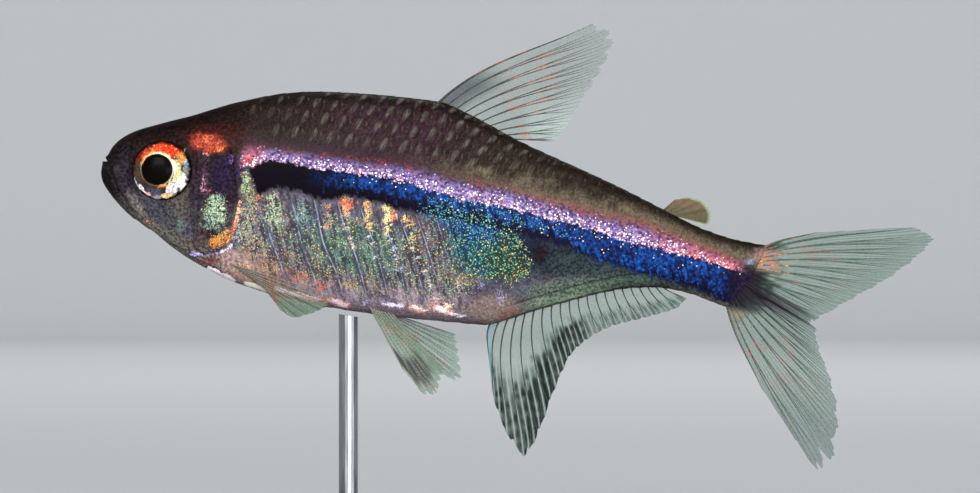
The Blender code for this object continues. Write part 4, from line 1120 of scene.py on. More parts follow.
def scale_roots():
    """Roots of the scales in staggered rows: point, outward, lie, size and place on the unwrap."""
    stations = np.linspace(6.5, STANDARD_LENGTH + 0.2, 700)
    rank = np.concatenate([[0], np.cumsum(np.diff(stations) / scale_pitch(stations[:-1]))])
    angles = np.linspace(0, math.pi, 181)
    chance = np.random.default_rng(41)
    roots = []
    for row in range(-8, 9):
        first = 0.5 * (row % 2)
        for number in np.arange(first, rank[-1], 1.0):
            station = float(np.interp(number, rank, stations))
            pitch = float(scale_pitch(station))
            ring = body_surface(np.full(len(angles), station), angles)
            run = np.concatenate([[0], np.cumsum(np.linalg.norm(np.diff(ring, axis=0), axis=1))])
            middle = float(np.interp(math.pi / 2, angles, run))
            place = middle + row * pitch
            if not 0.30 * pitch < place < run[-1] - 0.25 * pitch:
                continue
            angle = float(np.interp(place, run, angles))
            height = float(np.interp(angle, angles, ring[:, 2]))
            front = 9.25 - 1.9 * float(rise(height, 2.4, 5.2))
            if station < front:
                continue
            for side in (1, -1):
                roots.append((station, side * angle, pitch * (1 + 0.05 * chance.uniform(-1, 1))))
    for limit, angle in ((7.2, 0.0), (9.6, math.pi)):
        for number in np.arange(0.25, rank[-1], 1.0):
            station = float(np.interp(number, rank, stations))
            if station > limit:
                roots.append((station, angle, float(scale_pitch(station))))
    station, angle, size = np.array(roots).T
    point = body_surface(station, angle)
    along = body_surface(station + 0.05, angle) - body_surface(station - 0.05, angle)
    around = body_surface(station, angle + 0.01) - body_surface(station, angle - 0.01)
    outward = np.cross(along, around)
    outward /= np.linalg.norm(outward, axis=1, keepdims=True)
    share = np.stack([station / (STANDARD_LENGTH + 1), (angle / (2 * math.pi)) % 1.0], -1)
    return point, outward, along, size, share


def scale_plate():
    """One scale, root at the origin: round behind, rayed at the root, thin, closed below."""
    long_steps, cross_steps = 5, 7
    points, places = [], []
    for i in range(long_steps + 1):
        along = i / long_steps
        half = 0.5 * SCALE_HEIGHT * (0.62 + 0.38 * math.sin(math.pi * min(along * 1.1, 1.0) ** 0.8))
        for j in range(cross_steps + 1):
            across = -1 + 2 * j / cross_steps
            bow = 0.30 * (1 - across**2) if i else 0.0
            x = SCALE_LENGTH * (along * (0.80 + bow * along * 0.66))
            stand = -SCALE_SINKS + (SCALE_SINKS + SCALE_STANDS) * along + SCALE_CROWN * (1 - across**2)
            points.append((x, across * half, stand))
            places.append((x / SCALE_LENGTH, 0.5 + 0.5 * across, 0.0))
    width = cross_steps + 1
    corners = [i * width + j for i in range(long_steps) for j in range(cross_steps)]
    faces = [(a, a + width, a + width + 1, a + 1) for a in corners]
    rim = [*range(width)]
    rim += [i * width + cross_steps for i in range(1, long_steps + 1)]
    rim += [long_steps * width + j for j in range(cross_steps - 1, -1, -1)]
    rim += [i * width for i in range(long_steps - 1, 0, -1)]
    faces += [(here, rim[(k + 1) % len(rim)], len(points)) for k, here in enumerate(rim)]
    points.append((SCALE_LENGTH * 0.5, 0.0, -SCALE_SINKS * 1.6))
    places.append((0.5, 0.5, 0.0))
    mesh = bpy.data.meshes.new("scale_plate")
    mesh.from_pydata([(x * MM, y * MM, 0.0) for x, y, _ in points], [], faces)
    keep_numbers(mesh, "stand", [z * MM for _, _, z in points])
    keep_places(mesh, "plate_place", places)
    smooth(mesh)
    return in_scene("scale_plate", mesh)


def new_node_tree(name, **inputs):
    """A geometry tree with a mesh to work on and named inputs: the tree, their identifiers and sockets."""
    tree = bpy.data.node_groups.new(name, "GeometryNodeTree")
    identifiers = {}
    for each, kind in {"Geometry": "Geometry", **inputs}.items():
        socket = tree.interface.new_socket(each, in_out="INPUT", socket_type="NodeSocket" + kind)
        identifiers[each] = socket.identifier
    tree.interface.new_socket("Geometry", in_out="OUTPUT", socket_type="NodeSocketGeometry")
    return tree, identifiers, add(tree, "NodeGroupInput").outputs


def scale_tree(material):
    """Lays a scale on every root, turned to its lie, and bends it over the skin."""
    tree, identifiers, given = new_node_tree(
        "scale_coat", Skin="Object", Plate="Object", Patch_width="Float", Lift="Float"
    )
    skin, plate = (
        add(tree, "GeometryNodeObjectInfo", {"Object": given[name]}).outputs["Geometry"]
        for name in ("Skin", "Plate")
    )
    outward, lie, root, local = (
        add(tree, NAMED, {"Name": name}, data_type="FLOAT_VECTOR")
        for name in ("outward", "lie", "root_place", "plate_place")
    )
    size, stand = (add(tree, NAMED, {"Name": name}, data_type="FLOAT") for name in ("size", "stand"))
    upright = add(tree, ALIGNED, {"Vector": outward}, axis="Z")
    turned = add(tree, ALIGNED, {"Rotation": upright, "Vector": lie}, axis="X", pivot_axis="Z")
    feeds = {"Points": given["Geometry"], "Instance": plate, "Rotation": turned, "Scale": size}
    real = add(tree, "GeometryNodeRealizeInstances", {0: add(tree, "GeometryNodeInstanceOnPoints", feeds)})
    near = add(tree, "GeometryNodeProximity", {0: skin}, target_element="FACES").outputs["Position"]
    feeds = {"Mesh": skin, "Value": add(tree, "GeometryNodeInputNormal").outputs[0]}
    skin_out = add(tree, "GeometryNodeSampleNearestSurface", feeds, data_type="FLOAT_VECTOR")
    lifted = add(tree, MATH, (stand, given["Lift"]), operation="ADD")
    offset = add(tree, "ShaderNodeVectorMath", {0: skin_out, "Scale": lifted}, operation="SCALE")
    placed = add(tree, "GeometryNodeSetPosition", {"Geometry": real, "Position": near, "Offset": offset})
    patch = add(tree, "ShaderNodeVectorMath", {0: local, "Scale": given["Patch_width"]}, operation="SCALE")
    unwrap = add(tree, "ShaderNodeVectorMath", (root, patch), operation="ADD")
    for name, value in (("OFBake", unwrap), ("plate", local)):
        feeds = {"Geometry": placed, "Name": name, "Value": value}
        placed = add(tree, "GeometryNodeStoreNamedAttribute", feeds, data_type="FLOAT2", domain="CORNER")
    finished = add(tree, "GeometryNodeSetMaterial", {"Geometry": placed, "Material": material})
    add(tree, "NodeGroupOutput", (finished,))
    return tree, identifiers


def grown_mesh(name, base, tree, inputs):
    """Runs a node tree on a base object and keeps what it grows as a plain mesh object."""
    modifier = base.modifiers.new(name, "NODES")
    modifier.node_group = tree
    for identifier, value in inputs.items():
        modifier[identifier] = value
    graph = bpy.context.evaluated_depsgraph_get()
    grown = base.evaluated_get(graph)
    mesh = bpy.data.meshes.new_from_object(grown, preserve_all_data_layers=True, depsgraph=graph)
    base.modifiers.remove(modifier)
    bpy.data.objects.remove(base)
    mesh.name = name
    return in_scene(name, mesh)


def scale_coat(skin, material):
    """The thin overlapping scales of the body, bent over the skin."""
    point, outward, lie, size, share = scale_roots()
    turn = np.array(FISH_TO_WORLD.to_3x3()) / MM
    seeds = bpy.data.meshes.new("scale_roots")
    seeds.from_pydata(point.tolist(), [], [])
    seeds.transform(FISH_TO_WORLD)
    keep_places(seeds, "outward", outward @ turn.T)
    keep_places(seeds, "lie", lie @ turn.T)
    keep_places(seeds, "root_place", np.column_stack([share, np.zeros(len(share))]))
    keep_numbers(seeds, "size", size)
    base = in_scene("scale_roots", seeds)
    plate = scale_plate()
    tree, names = scale_tree(material)
    inputs = {
        names["Skin"]: skin, names["Plate"]: plate, names["Patch_width"]: UNWRAP_PATCH, names["Lift"]: 0.0
    }
    made = grown_mesh("fish_scales", base, tree, inputs)
    bpy.data.objects.remove(plate)
    kept = made.data.attributes
    for spare in {"outward", "lie", "size", "root_place", "stand"} & set(kept.keys()):
        kept.remove(kept[spare])
    made.data.set_sharp_from_angle(angle=math.radians(60))
    add_markings(made.data)
    return made


# Eyes


IRIS = (
    # Middle of each patch as angle in degrees and share of the way out, its half angle and half share, colour
    (108, 0.18, 44, 0.20, "f0ac58"),
    (88, 0.52, 44, 0.44, "dc4420"),
    (58, 0.50, 24, 0.46, "d43414"),
    (74, 0.10, 32, 0.10, "ffd488"),
    (128, 0.50, 24, 0.32, "b83c1c"),
    (152, 0.74, 20, 0.26, "782018"),
    (150, 0.14, 34, 0.15, "c07840"),
    (180, 0.84, 20, 0.14, "5c3428"),
    (-160, 0.40, 44, 0.50, "443a30"),
    (-112, 0.40, 30, 0.44, "383032"),
    (-86, 0.46, 20, 0.36, "46444c"),
    (32, 0.66, 13, 0.28, "dc8c44"),
    (8, 0.26, 26, 0.24, "d0c888"),
    (16, 0.12, 26, 0.09, "f6f0cc"),
    (-14, 0.40, 8, 0.10, "9c9c60"),
    (4, 0.56, 10, 0.12, "8c7c5c"),
    (-34, 0.34, 16, 0.16, "a8a0b0"),
    (-20, 0.60, 24, 0.30, "fdfbf0"),
    (-20, 0.22, 16, 0.14, "dcd898"),
    (15, 0.78, 14, 0.22, "7c8c98"),
    (24, 0.86, 6, 0.10, "dce0d8"),
    (-44, 0.48, 13, 0.27, "e4dce4"),
    (-60, 0.80, 18, 0.20, "ecc890"),
    (-62, 0.12, 24, 0.14, "e0952c"),
    (-84, 0.84, 9, 0.14, "8c8a9c"),
    (-102, 0.82, 9, 0.15, "d8a8a4"),
    (-120, 0.80, 15, 0.19, "f8ece4"),
    (-143, 0.88, 15, 0.12, "bcccd4"),
)


def eye(word, sign, material):
    """An eyeball: an iris round a bulging pupil, closed behind, tilted with the head's side."""
    rings, around = 64, 160
    out = (np.linspace(0, 1, rings + 1)[1:] ** 0.9)[:, None]
    turns = 2 * math.pi * np.arange(around) / around
    seat = float(side_of_body(*EYE))

    def at_share(share):
        return EYE[0] + EYE_RADIUS * share * np.cos(turns), EYE[1] + EYE_RADIUS * share * np.sin(turns)

    def front(x, z, out):
        from_pupil = np.hypot(x - PUPIL[0], z - PUPIL[1])
        dome = 0.05 - 0.42 * out**2.6
        lens = 0.13 * np.sqrt(np.clip(1 - (from_pupil / PUPIL_RADIUS) ** 2, 0, 1))
        rim = 0.035 * ridge(from_pupil - PUPIL_RADIUS - 0.02, 0.05)
        return dome + lens + rim

    station, height = at_share(out)
    lean = 0.085 * (station - EYE[0]) - 0.03 * (height - EYE[1])
    side = seat + lean + front(station, height, out)
    points = [np.stack([station, sign * side, height], -1).reshape(-1, 3)]
    for share, depth in EYE_BACK:
        x, z = at_share(share)
        points.append(np.stack([x, np.full(around, sign * (seat - depth)), z], -1))
    for pole in (seat + float(front(*EYE, 0.0)), seat - EYE_DEPTH):
        points.append([[EYE[0], sign * pole, EYE[1]]])
    index, following, faces = tube(rings + len(EYE_BACK), around)
    faces += [(index.size, index[0, k], following[0, k]) for k in range(around)]
    faces += [(index.size + 1, following[-1, k], index[-1, k]) for k in range(around)]
    if sign > 0:
        faces = [tuple(reversed(f)) for f in faces]
    made = mesh_object("eye_" + word + "_ball", np.concatenate(points), faces)
    made.data.materials.append(material)
    keep_colours(made.data, "iris", eye_colours(fish_places(made.data)))
    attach(made, "root")
    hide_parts("eye_" + word)


def eye_colours(points):
    """Black pupil, a thin tan ring with a painted highlight of white on its upper rear side, and an iris red
    above, silver behind and below.
    """
    x = points[:, 0] - PUPIL[0]
    z = points[:, 2] - PUPIL[1]
    from_pupil = np.hypot(x, z)
    angle = np.degrees(np.arctan2(z, x))
    edge = np.hypot(points[:, 0] - EYE[0], points[:, 2] - EYE[1]) / EYE_RADIUS
    ring_width = np.maximum(from_pupil - PUPIL_RADIUS + (1 - edge) * EYE_RADIUS, 1e-6)
    share = np.clip((from_pupil - PUPIL_RADIUS) / ring_width, 0, 1)
    shake = cloud(points, 0.16, 21) - 0.5
    shake_more = cloud(points, 0.32, 22) - 0.5
    paint = plain(points, "2c1c18")
    for middle, out, half_angle, half_share, hex_code in IRIS:
        turned = (angle + 22 * shake_more - middle + 180) % 360 - 180
        reach = np.hypot(turned / half_angle, (share + 0.26 * shake - out) / half_share)
        paint = laid_over(paint, (hex_code, rise(reach, 1.15, 0.60)))
    fleck = rise(cloud(points, 0.085, 24), 0.50, 0.68) * rise(share, 0.08, 0.22)
    speck = rise(cloud(points, 0.075, 23), 0.72, 0.86) * rise(share, 0.02, 0.1) * rise(share, 1.0, 0.85)
    speck = speck * rise(np.cos(np.radians(angle - 60)), -0.6, 0.4)
    # lit is largest on the upper rear side: there the ring grows wider and white as a painted highlight, and
    # the dark outer rim reaches further in
    lit = 0.50 + 0.50 * np.cos(np.radians(angle - 56))
    ring = ridge(from_pupil - PUPIL_RADIUS - 0.045, 0.020 + 0.028 * lit)
    return laid_over(
        paint,
        ("241614", 0.45 * fleck),
        ("ffe0a0", 0.4 * speck),
        ("160c0d", rise(edge + 0.10 * shake, 0.925 - 0.06 * lit, 0.985)),
        ("a87c50", 0.5 * ring),
        ("fff2dc", ring * lit**1.4),
        ("070504", rise(from_pupil, PUPIL_RADIUS + 0.01, PUPIL_RADIUS - 0.05)),
    )


def eye_material():
    """Glass-smooth wet cornea over the iris: colours stay deep, with one crisp highlight."""
    made, tree = new_material("wet_cornea_over_iris")
    place = place_in_fish(tree)
    fibres = add(tree, NOISE, {"Vector": place, "Scale": 14.0, "Detail": 2.0}).outputs["Fac"]
    iris = add(tree, KEPT, attribute_name="iris").outputs["Color"]
    shade = add(tree, FADE, (fibres, 0.30, 0.66, 0.50, 1.25))
    feeds = {
        "Base Color": add(tree, SHADED, {0: 1.0, 6: iris, 7: shade}),
        "Roughness": 0.34,
        "Specular IOR Level": 0.02,
        "Normal": add(tree, "ShaderNodeBump", {"Height": fibres, "Strength": 0.15, "Distance": 0.00001}),
        "Coat Weight": 0.02,
        "Coat Roughness": 0.02,
        "Coat IOR": 1.34,
    }
    finish_material(tree, feeds)
    return made


# Fins: number of rays, bow of the first and last, and the margin as rows of ray number, station, height and,
# on a paired fin, side. Each root sinks into the body.


DORSAL_BASE = (20.4, 25.5)
DORSAL_MARGIN = (
    (0, 29.20, 13.58), (1, 30.25, 13.30), (2, 30.62, 12.60), (3, 30.40, 11.55), (5, 29.66, 9.70),
    (7, 28.72, 7.50), (9, 27.88, 5.95),
)
ANAL_BASE = (25.45, 36.0)
ANAL_MARGIN = (
    (0, 25.74, -8.20), (1, 26.40, -10.60), (2, 27.50, -12.60), (3, 28.75, -13.86), (4, 29.30, -12.90),
    (6, 30.12, -9.30), (8, 30.80, -7.10), (12, 32.80, -5.15), (16, 35.20, -4.10), (19, 36.95, -3.25),
    (20, 37.45, -2.60),
)
UPPER_TAIL_MARGIN = (
    (0, 44.90, 2.66), (1, 50.90, 3.82), (2, 52.20, 3.28), (3, 51.73, 2.50), (5, 50.00, 0.65),
    (7, 47.70, -1.15), (9, 45.55, -2.85),
)
LOWER_TAIL_MARGIN = (
    (0, 45.70, -3.30), (1, 46.05, -4.40), (3, 47.10, -6.35), (5, 47.95, -9.20), (6, 47.95, -11.00),
    (7, 47.10, -12.05), (8, 42.90, -7.55),
)
FORK_MARGIN = ((0, 45.75, -2.70), (1, 45.35, -2.92), (2, 45.40, -3.14), (3, 45.85, -3.45))
TAIL_BASE_TOP = 1.35
TAIL_FORK = -1.05
TAIL_BASE_BOTTOM = -2.75
ADIPOSE_BASE = (35.2, 36.2)
ADIPOSE_MARGIN = (
    (0, 35.80, 3.42), (2, 36.70, 3.68), (4, 37.50, 3.55), (6, 38.05, 3.05), (7, 38.22, 2.55),
    (8, 38.02, 2.10),
)
PECTORAL_BASE = ((0, 9.66, -4.62), (5, 10.45, -5.22), (10, 11.20, -5.62))
PECTORAL_MARGIN = (
    (0, 16.00, -5.55, 3.15), (2, 15.35, -6.20, 3.05), (4, 14.80, -6.64, 2.80), (6, 14.00, -7.05, 2.50),
    (8, 13.40, -7.28, 2.20), (10, 12.50, -6.95, 1.80),
)
PELVIC_BASE = ((0, 18.00, 1.10), (4, 18.70, 0.88), (7, 19.40, 0.70))
LEFT_PELVIC_MARGIN = (
    (0, 20.60, -9.55, 1.95), (1, 22.08, -10.84, 2.15), (3, 22.85, -10.65, 2.10),
    (5, 22.95, -9.80, 1.90), (7, 23.10, -9.10, 1.70),
)
RIGHT_PELVIC_MARGIN = (
    (0, 22.00, -9.20, 2.05), (1, 23.75, -9.78, 2.20), (2, 24.24, -9.58, 2.15), (4, 23.95, -8.42, 1.90),
    (7, 23.45, -6.90, 1.60),
)
BOW_PEAK = 4 / 27
ROOT_SINKS = 0.55
MEMBRANE_THICK = 0.05
JOINTS_PER_RAY = 30


def curve_by_ray(rows):
    """A smooth curve through rows that start with a ray number, read from 0 at the first ray to 1."""
    return smooth_through([row[0] / rows[-1][0] for row in rows], [row[1:] for row in rows])


def flat_margin(rows):
    """The margin of a fin that stands in the middle plane."""
    return curve_by_ray([(ray, x, 0.0, z) for ray, x, z in rows])


def side_margin(rows, sign):
    """The margin of a paired fin on the side given by sign."""
    return curve_by_ray([(ray, x, sign * y, z) for ray, x, z, y in rows])


def ridge_base(limits, height):
    """The root line of a fin along the back or the belly, on the skin."""
    first, last = limits

    def base(at):
        station = first + (last - first) * np.asarray(at, float)
        return np.stack([station, np.zeros_like(station), height(station)], -1)

    return base


def tail_base(first_height, last_height):
    """The root line of a tail lobe, on the body's rear edge."""

    def base(at):
        height = first_height + (last_height - first_height) * np.asarray(at, float)
        above = height - TAIL_EDGE_MIDDLE
        station = STANDARD_LENGTH + TAIL_EDGE_LEAN * above + TAIL_EDGE_CURVE * above**2
        return np.stack([station, np.zeros_like(station), height], -1)

    return base


class FinShape:
    """A fin's sheet: where each place lies, from ray to ray and from root to margin."""

    def __init__(self, base, margin, rays, bow=(0.0, 0.0), notch=0.03, seed=1, tears=()):
        self.base = base
        self.margin = margin
        self.rays = rays
        self.bow = bow
        self.notch = notch
        self.seed = seed
        self.tears = tears

    def reach(self, at):
        """How far out the sheet goes at a place between rays, less between ray tips and at tears."""
        by_ray = np.asarray(at, float) * (self.rays - 1)
        between = np.sin(math.pi * (by_ray % 1.0)) ** 2
        strand = np.sin(math.pi * (4 * by_ray % 1.0)) ** 2
        wave = np.sin(by_ray * 12.9898 + self.seed) * 0.5 + 0.5
        reach = 1.0 - self.notch * between * (0.5 + 0.9 * wave) - 0.010 * strand
        for place, depth, width in self.tears:
            reach = reach - depth * np.clip(1 - np.abs(by_ray - place) / width, 0, 1)
        return reach

    def points(self, at, out):
        """Points of the sheet's middle at shares across the rays and out to the margin."""
        at, out = np.broadcast_arrays(np.asarray(at, float), np.asarray(out, float))
        root = self.base(at)
        tip = self.margin(at)
        run = tip - root
        length = np.linalg.norm(run, axis=-1)
        start = -ROOT_SINKS / np.maximum(length, 1e-6)
        share = start + (self.reach(at) - start) * out
        across = np.stack([run[..., 2], np.zeros_like(length), -run[..., 0]], -1)
        bulge = self.bow[0] + (self.bow[1] - self.bow[0]) * at
        bend = bulge * share * (1 - share) ** 2 / BOW_PEAK
        ripple = 0.05 * np.sin(3.1 * at * self.rays + 2.4 * out + self.seed) * out**1.5
        place = root + run * share[..., None] + across * bend[..., None]
        place[..., 1] = place[..., 1] + ripple
        return place


def membrane(name, shape, paint):
    """A fin's skin between its rays: a thin closed sheet with a notched margin."""
    columns = (shape.rays - 1) * 16 + 1
    rows = 36
    at = np.linspace(0, 1, columns)[:, None]
    out = np.linspace(0, 1, rows)[None, :]
    middle = shape.points(at, out)
    outward = np.cross(np.gradient(middle, axis=0), np.gradient(middle, axis=1))
    outward /= np.linalg.norm(outward, axis=2, keepdims=True)
    half = 0.5 * MEMBRANE_THICK * (1.1 - 0.75 * out)[..., None] * outward
    count = columns * rows
    index = np.arange(count).reshape(columns, rows)
    quads = np.stack([index[:-1, :-1], index[1:, :-1], index[1:, 1:], index[:-1, 1:]], -1).reshape(-1, 4)
    faces = quads.tolist() + (quads[:, ::-1] + count).tolist()
    rim = [*index[:, 0], *index[-1, 1:], *index[-2::-1, -1], *index[0, -2:0:-1]]
    for here, following in zip(rim, [*rim[1:], rim[0]]):
        faces.append((following, here, here + count, following + count))
    points = np.concatenate([(middle + half).reshape(-1, 3), (middle - half).reshape(-1, 3)])
    made = mesh_object(name, points, faces, sharp_from=60)
    at, out = (np.broadcast_to(v, (columns, rows)).ravel() for v in (at, out))
    tint, cover = paint(at, out, middle.reshape(-1, 3))
    keep_colours(made.data, "tint", np.concatenate([tint, tint]))
    keep_numbers(made.data, "cover", np.concatenate([cover, cover]))
    return made


def ray_strands(shape, splits, width):
    """Lines of a fin's rays, each splitting towards the margin: points, edges, thickness and run."""
    points, edges, thickness, run = [], [], [], []
    step = 1 / (shape.rays - 1)

    def strand(line_at, line_out, start_thick, end_thick):
        first = len(points)
        count = len(line_out)
        points.extend(shape.points(line_at, line_out))
        thickness.extend(start_thick + (end_thick - start_thick) * k / (count - 1) for k in range(count))
        run.extend(line_out.tolist())
        edges.extend((k - 1, k) for k in range(first + 1, first + count))

    for ray in range(shape.rays):
        at = ray * step
        if ray == 0 or ray in splits.get("unbranched", ()):
            out = np.linspace(0, 0.995, 30)
            strand(np.full(30, at), out, width * 1.15, width * 0.35)
            continue
        first_split = splits["first"] + 0.03 * math.sin(7.3 * ray + shape.seed)
        second_split = splits["second"] + 0.04 * math.sin(4.1 * ray + shape.seed)
        out = np.linspace(0, first_split, 14)
        strand(np.full(14, at), out, width, width * 0.72)
        apart = splits["spread"] * step
        for side in (-1, 1):
            def drift(out_here, side=side, at=at, first_split=first_split):
                return np.clip(at + side * apart * rise(out_here, first_split - 0.02, 1.15), 0, 1)

            out = np.linspace(first_split - 0.02, second_split, 12)
            strand(drift(out), out, width * 0.60, width * 0.46)
            out = np.linspace(second_split - 0.02, 0.985, 12)
            for twig in (-1, 1):
                more = twig * 0.48 * apart * rise(out, second_split - 0.02, 1.05)
                strand(np.clip(drift(out) + more, 0, 1), out, width * 0.40, width * 0.20)
    return np.array(points), edges, thickness, run


def ray_tree(material):
    """Turns lines into round tapering rays."""
    tree, identifiers, given = new_node_tree("fin_rays", Sides="Int", Radius="Float")
    lines = add(tree, "GeometryNodeMeshToCurve", {"Mesh": given["Geometry"]})
    thick = add(tree, NAMED, {"Name": "thick"}, data_type="FLOAT")
    ring = add(
        tree, "GeometryNodeCurvePrimitiveCircle", {"Resolution": given["Sides"], "Radius": given["Radius"]}
    )
    feeds = {"Curve": lines, "Profile Curve": ring, "Scale": thick, "Fill Caps": True}
    round_rays = add(tree, "GeometryNodeCurveToMesh", feeds)
    finished = add(tree, "GeometryNodeSetMaterial", {"Geometry": round_rays, "Material": material})
    add(tree, "NodeGroupOutput", (finished,))
    return tree, identifiers


def fin_rays(name, strands, trees, paint):
    """The rays of one fin as one mesh."""
    points, edges, thickness, run = strands
    lines = bpy.data.meshes.new(name + "_lines")
    lines.from_pydata(points.tolist(), edges, [])
    lines.transform(FISH_TO_WORLD)
    keep_numbers(lines, "thick", thickness)
    keep_numbers(lines, "run", run)
    keep_colours(lines, "tint", paint(np.array(run), points))
    tree, names = trees
    made = grown_mesh(name, in_scene(name + "_lines", lines), tree, {names["Sides"]: 6, names["Radius"]: MM})
    smooth(made.data)
    return made


def membrane_material():
    """Fin membrane, a clear wet film: see-through, greener where thick, smoky where it holds pigment."""
    made, tree = new_material("wet_fin_membrane")
    place = place_in_fish(tree)
    streaks = add(tree, NOISE, {"Vector": place, "Scale": 3.0, "Detail": 3.0}).outputs["Fac"]
    away, lot, _ = grains(tree, place, FIN_DOT_MM, 1.3)
    dots = grain_cover(tree, away, lot, 0.35, 0.34)
    tint = add(tree, KEPT, attribute_name="tint").outputs["Color"]
    tint = add(tree, SHADED, {0: 1.0, 6: tint, 7: add(tree, SCALED, (streaks, 0.5, 0.75))})
    cover = add(tree, KEPT, attribute_name="cover").outputs["Fac"]
    feeds = {
        "Base Color": paint_coats(tree, tint, [(dots, 0.5, "2c2f2c")]),
        "Roughness": 0.34,
        "Specular IOR Level": 0.10,
        "Alpha": add(tree, SCALED, (dots, 0.18, cover)),
        "Normal": add(tree, "ShaderNodeBump", {"Height": streaks, "Strength": 0.2, "Distance": 0.00002}),
        "IOR": 1.36,
    }
    finish_material(tree, feeds)
    return made


def ray_material():
    """Bony fin rays, jointed like bamboo: translucent horn colour with darker joints and pigment."""
    made, tree = new_material("jointed_fin_ray")
    fine = add(tree, NOISE, {"Vector": place_in_fish(tree), "Scale": 6.0, "Detail": 2.0}).outputs["Fac"]
    run = add(tree, KEPT, attribute_name="run").outputs["Fac"]
    wave = add(tree, MATH, (all_of(tree, run, 2 * math.pi * JOINTS_PER_RAY),), operation="SINE")
    joint = add(tree, FADE, (wave, 0.35, 0.95))
    tint = add(tree, KEPT, attribute_name="tint").outputs["Color"]
    tint = add(tree, SHADED, {0: 1.0, 6: tint, 7: add(tree, SCALED, (fine, 0.9, 0.5))})
    paint = paint_coats(tree, tint, [(joint, 0.55, "1b1815")])
    feeds = {
        "Base Color": paint, "Roughness": 0.36, "IOR": 1.45, "Specular IOR Level": 0.2, "Coat Weight": 0.08
    }
    finish_material(tree, feeds)
    return made


def dorsal_paint(at, out, points):
    """Clear and greenish, milky in the middle and behind, smoky in front of its base."""
    milky = rise(out, 0.34, 0.60) * rise(at, 0.40, 0.85)
    smoke = rise(at, 0.38, 0.12) * rise(out, 0.45, 0.20)
    tint = laid_over(plain(points, "5a7266"), ("a4b8ae", 0.8 * milky), ("3a4648", smoke))
    return tint, 0.20 + 0.12 * milky + 0.36 * smoke


def between_rays(at, rays):
    """Fades from 0 on a ray to 1 half way to the next."""
    return np.sin(math.pi * (at * (rays - 1) % 1.0)) ** 0.7


def anal_paint(at, out, points):
    """Clear near the base, smoky bars between the rays towards the margin, all dark in the front lobe."""
    lobe = rise(at, 0.32, 0.14) * rise(out, 0.35, 0.80)
    strokes = between_rays(at, 41) * (0.55 + 0.9 * cloud(points, 0.30, 35))
    bars = rise(out + 0.2 * cloud(points, 0.4, 36), 0.52, 0.78) * rise(at, 0.08, 0.20) * rise(at, 0.60, 0.42)
    faint = 0.42 * rise(out, 0.55, 0.80) * rise(at, 0.45, 0.60)
    smoke = np.clip(np.maximum(0.85 * lobe, np.maximum(bars, faint)) * strokes, 0, 1)
    tint = laid_over(
        plain(points, "648070"),
        ("7c8a7c", rise(out, 0.30, 0.05)),
        ("101c18", 1.4 * smoke),
        ("5f94a8", 0.8 * rise(at, 0.05, 0.015)),
    )
    return tint, np.clip(0.24 + 0.70 * smoke + 0.15 * rise(at, 0.05, 0.01), 0, 0.96)


def tail_root(points):
    """Body colour that runs out onto the rays: dark above, pinkish, black tail spot, pale tan below."""
    height = points[:, 2]
    return laid_over(
        plain(points, "2a211c"),
        ("8a7068", rise(height, 1.35, 0.95) * rise(height, -0.45, 0.0)),
        ("b0684c", ridge(height - 0.60, 0.22) * rise(cloud(points, 0.25, 33), 0.45, 0.6)),
        ("0e0811", rise(height, -0.10, -0.50) * rise(height, -3.1, -2.7)),
        ("7c7460", rise(height, -2.7, -3.1)),
    )


def with_tail_root(tint, points):
    """Colours of the tail fin with the body's colour laid over them near its rear edge, and how strongly."""
    height = points[:, 2]
    edge = tail_base(1.42, -2.85)(np.linspace(0, 1, 16))[:, [0, 2]]
    away, _ = from_line(points[:, [0, 2]], edge)
    wide = 1.1 + 0.8 * ridge(height + 1.9, 1.2) + 0.3 * ridge(height + 3.4, 0.5)
    uneven = cloud(points * (0.3, 1.0, 1.0), 0.13, 34) - 0.5
    root = rise(away + 1.1 * uneven, 1.3 * wide, 0.30 * wide)
    return tint * (1 - root[:, None]) + tail_root(points) * root[:, None], root


def tail_paint(at, out, points):
    """Grey-green film in fine stripes, body colour at its root, dusky where rays leave the tail spot."""
    station, height = points[:, 0], points[:, 2]
    stripes = 1 - between_rays(at, 37)
    low = rise(height, -3.0, -5.0) * rise(cloud(points, 0.6, 31), 0.55, 0.8)
    grey = rise(height, -5.0, -9.5)
    spot = ridge(height + 1.9 + 0.30 * (station - 42), 0.75) * rise(station, 46.5, 43.0)
    tint = laid_over(
        plain(points, "5f7a6a"),
        ("3c5146", 0.6 * stripes),
        ("7c4c44", 0.5 * low * rise(out, 0.9, 0.6)),
        ("566460", 0.6 * grey),
        ("181019", spot),
    )
    tint, root = with_tail_root(tint, points)
    cover = 0.30 + 0.16 * stripes * rise(out, 0.15, 0.40)
    cover = cover + 0.45 * spot * (0.35 + 0.75 * stripes) + 0.10 * grey
    return tint, np.clip(cover + root * (0.90 - 0.35 * rise(height, -2.6, -3.3)), 0, 1)


def pelvic_paint(at, out, points):
    """Clear green, with a dark smudge across the outer part of the first rays."""
    smudge = rise(out, 0.55, 0.68) * rise(out, 0.95, 0.84) * rise(at, 0.85, 0.55)
    return laid_over(plain(points, "5f8068"), ("24302c", smudge)), 0.34 + 0.34 * smudge


def far_pelvic_paint(at, out, points):
    """Clear, milky green."""
    return plain(points, "6f9480"), np.full(len(at), 0.32)


def pectoral_paint(at, out, points):
    """Nearly clear over the body, grey-green where it stands free below."""
    free = rise(-points[:, 2], 5.7, 6.5)
    return laid_over(plain(points, "a08c78"), ("66846f", free)), 0.07 + 0.30 * free


def adipose_paint(at, out, points):
    """A fatty flap, dotted yellow-brown with a pale rim."""
    rim = np.maximum(rise(out, 0.91, 0.98), rise(at, 0.95, 1.0))
    tint = laid_over(plain(points, "544c30"), ("7a5c46", 0.6 * rise(points[:, 2], 2.7, 3.4)), ("8c9c74", rim))
    return tint, 0.80 - 0.25 * rim


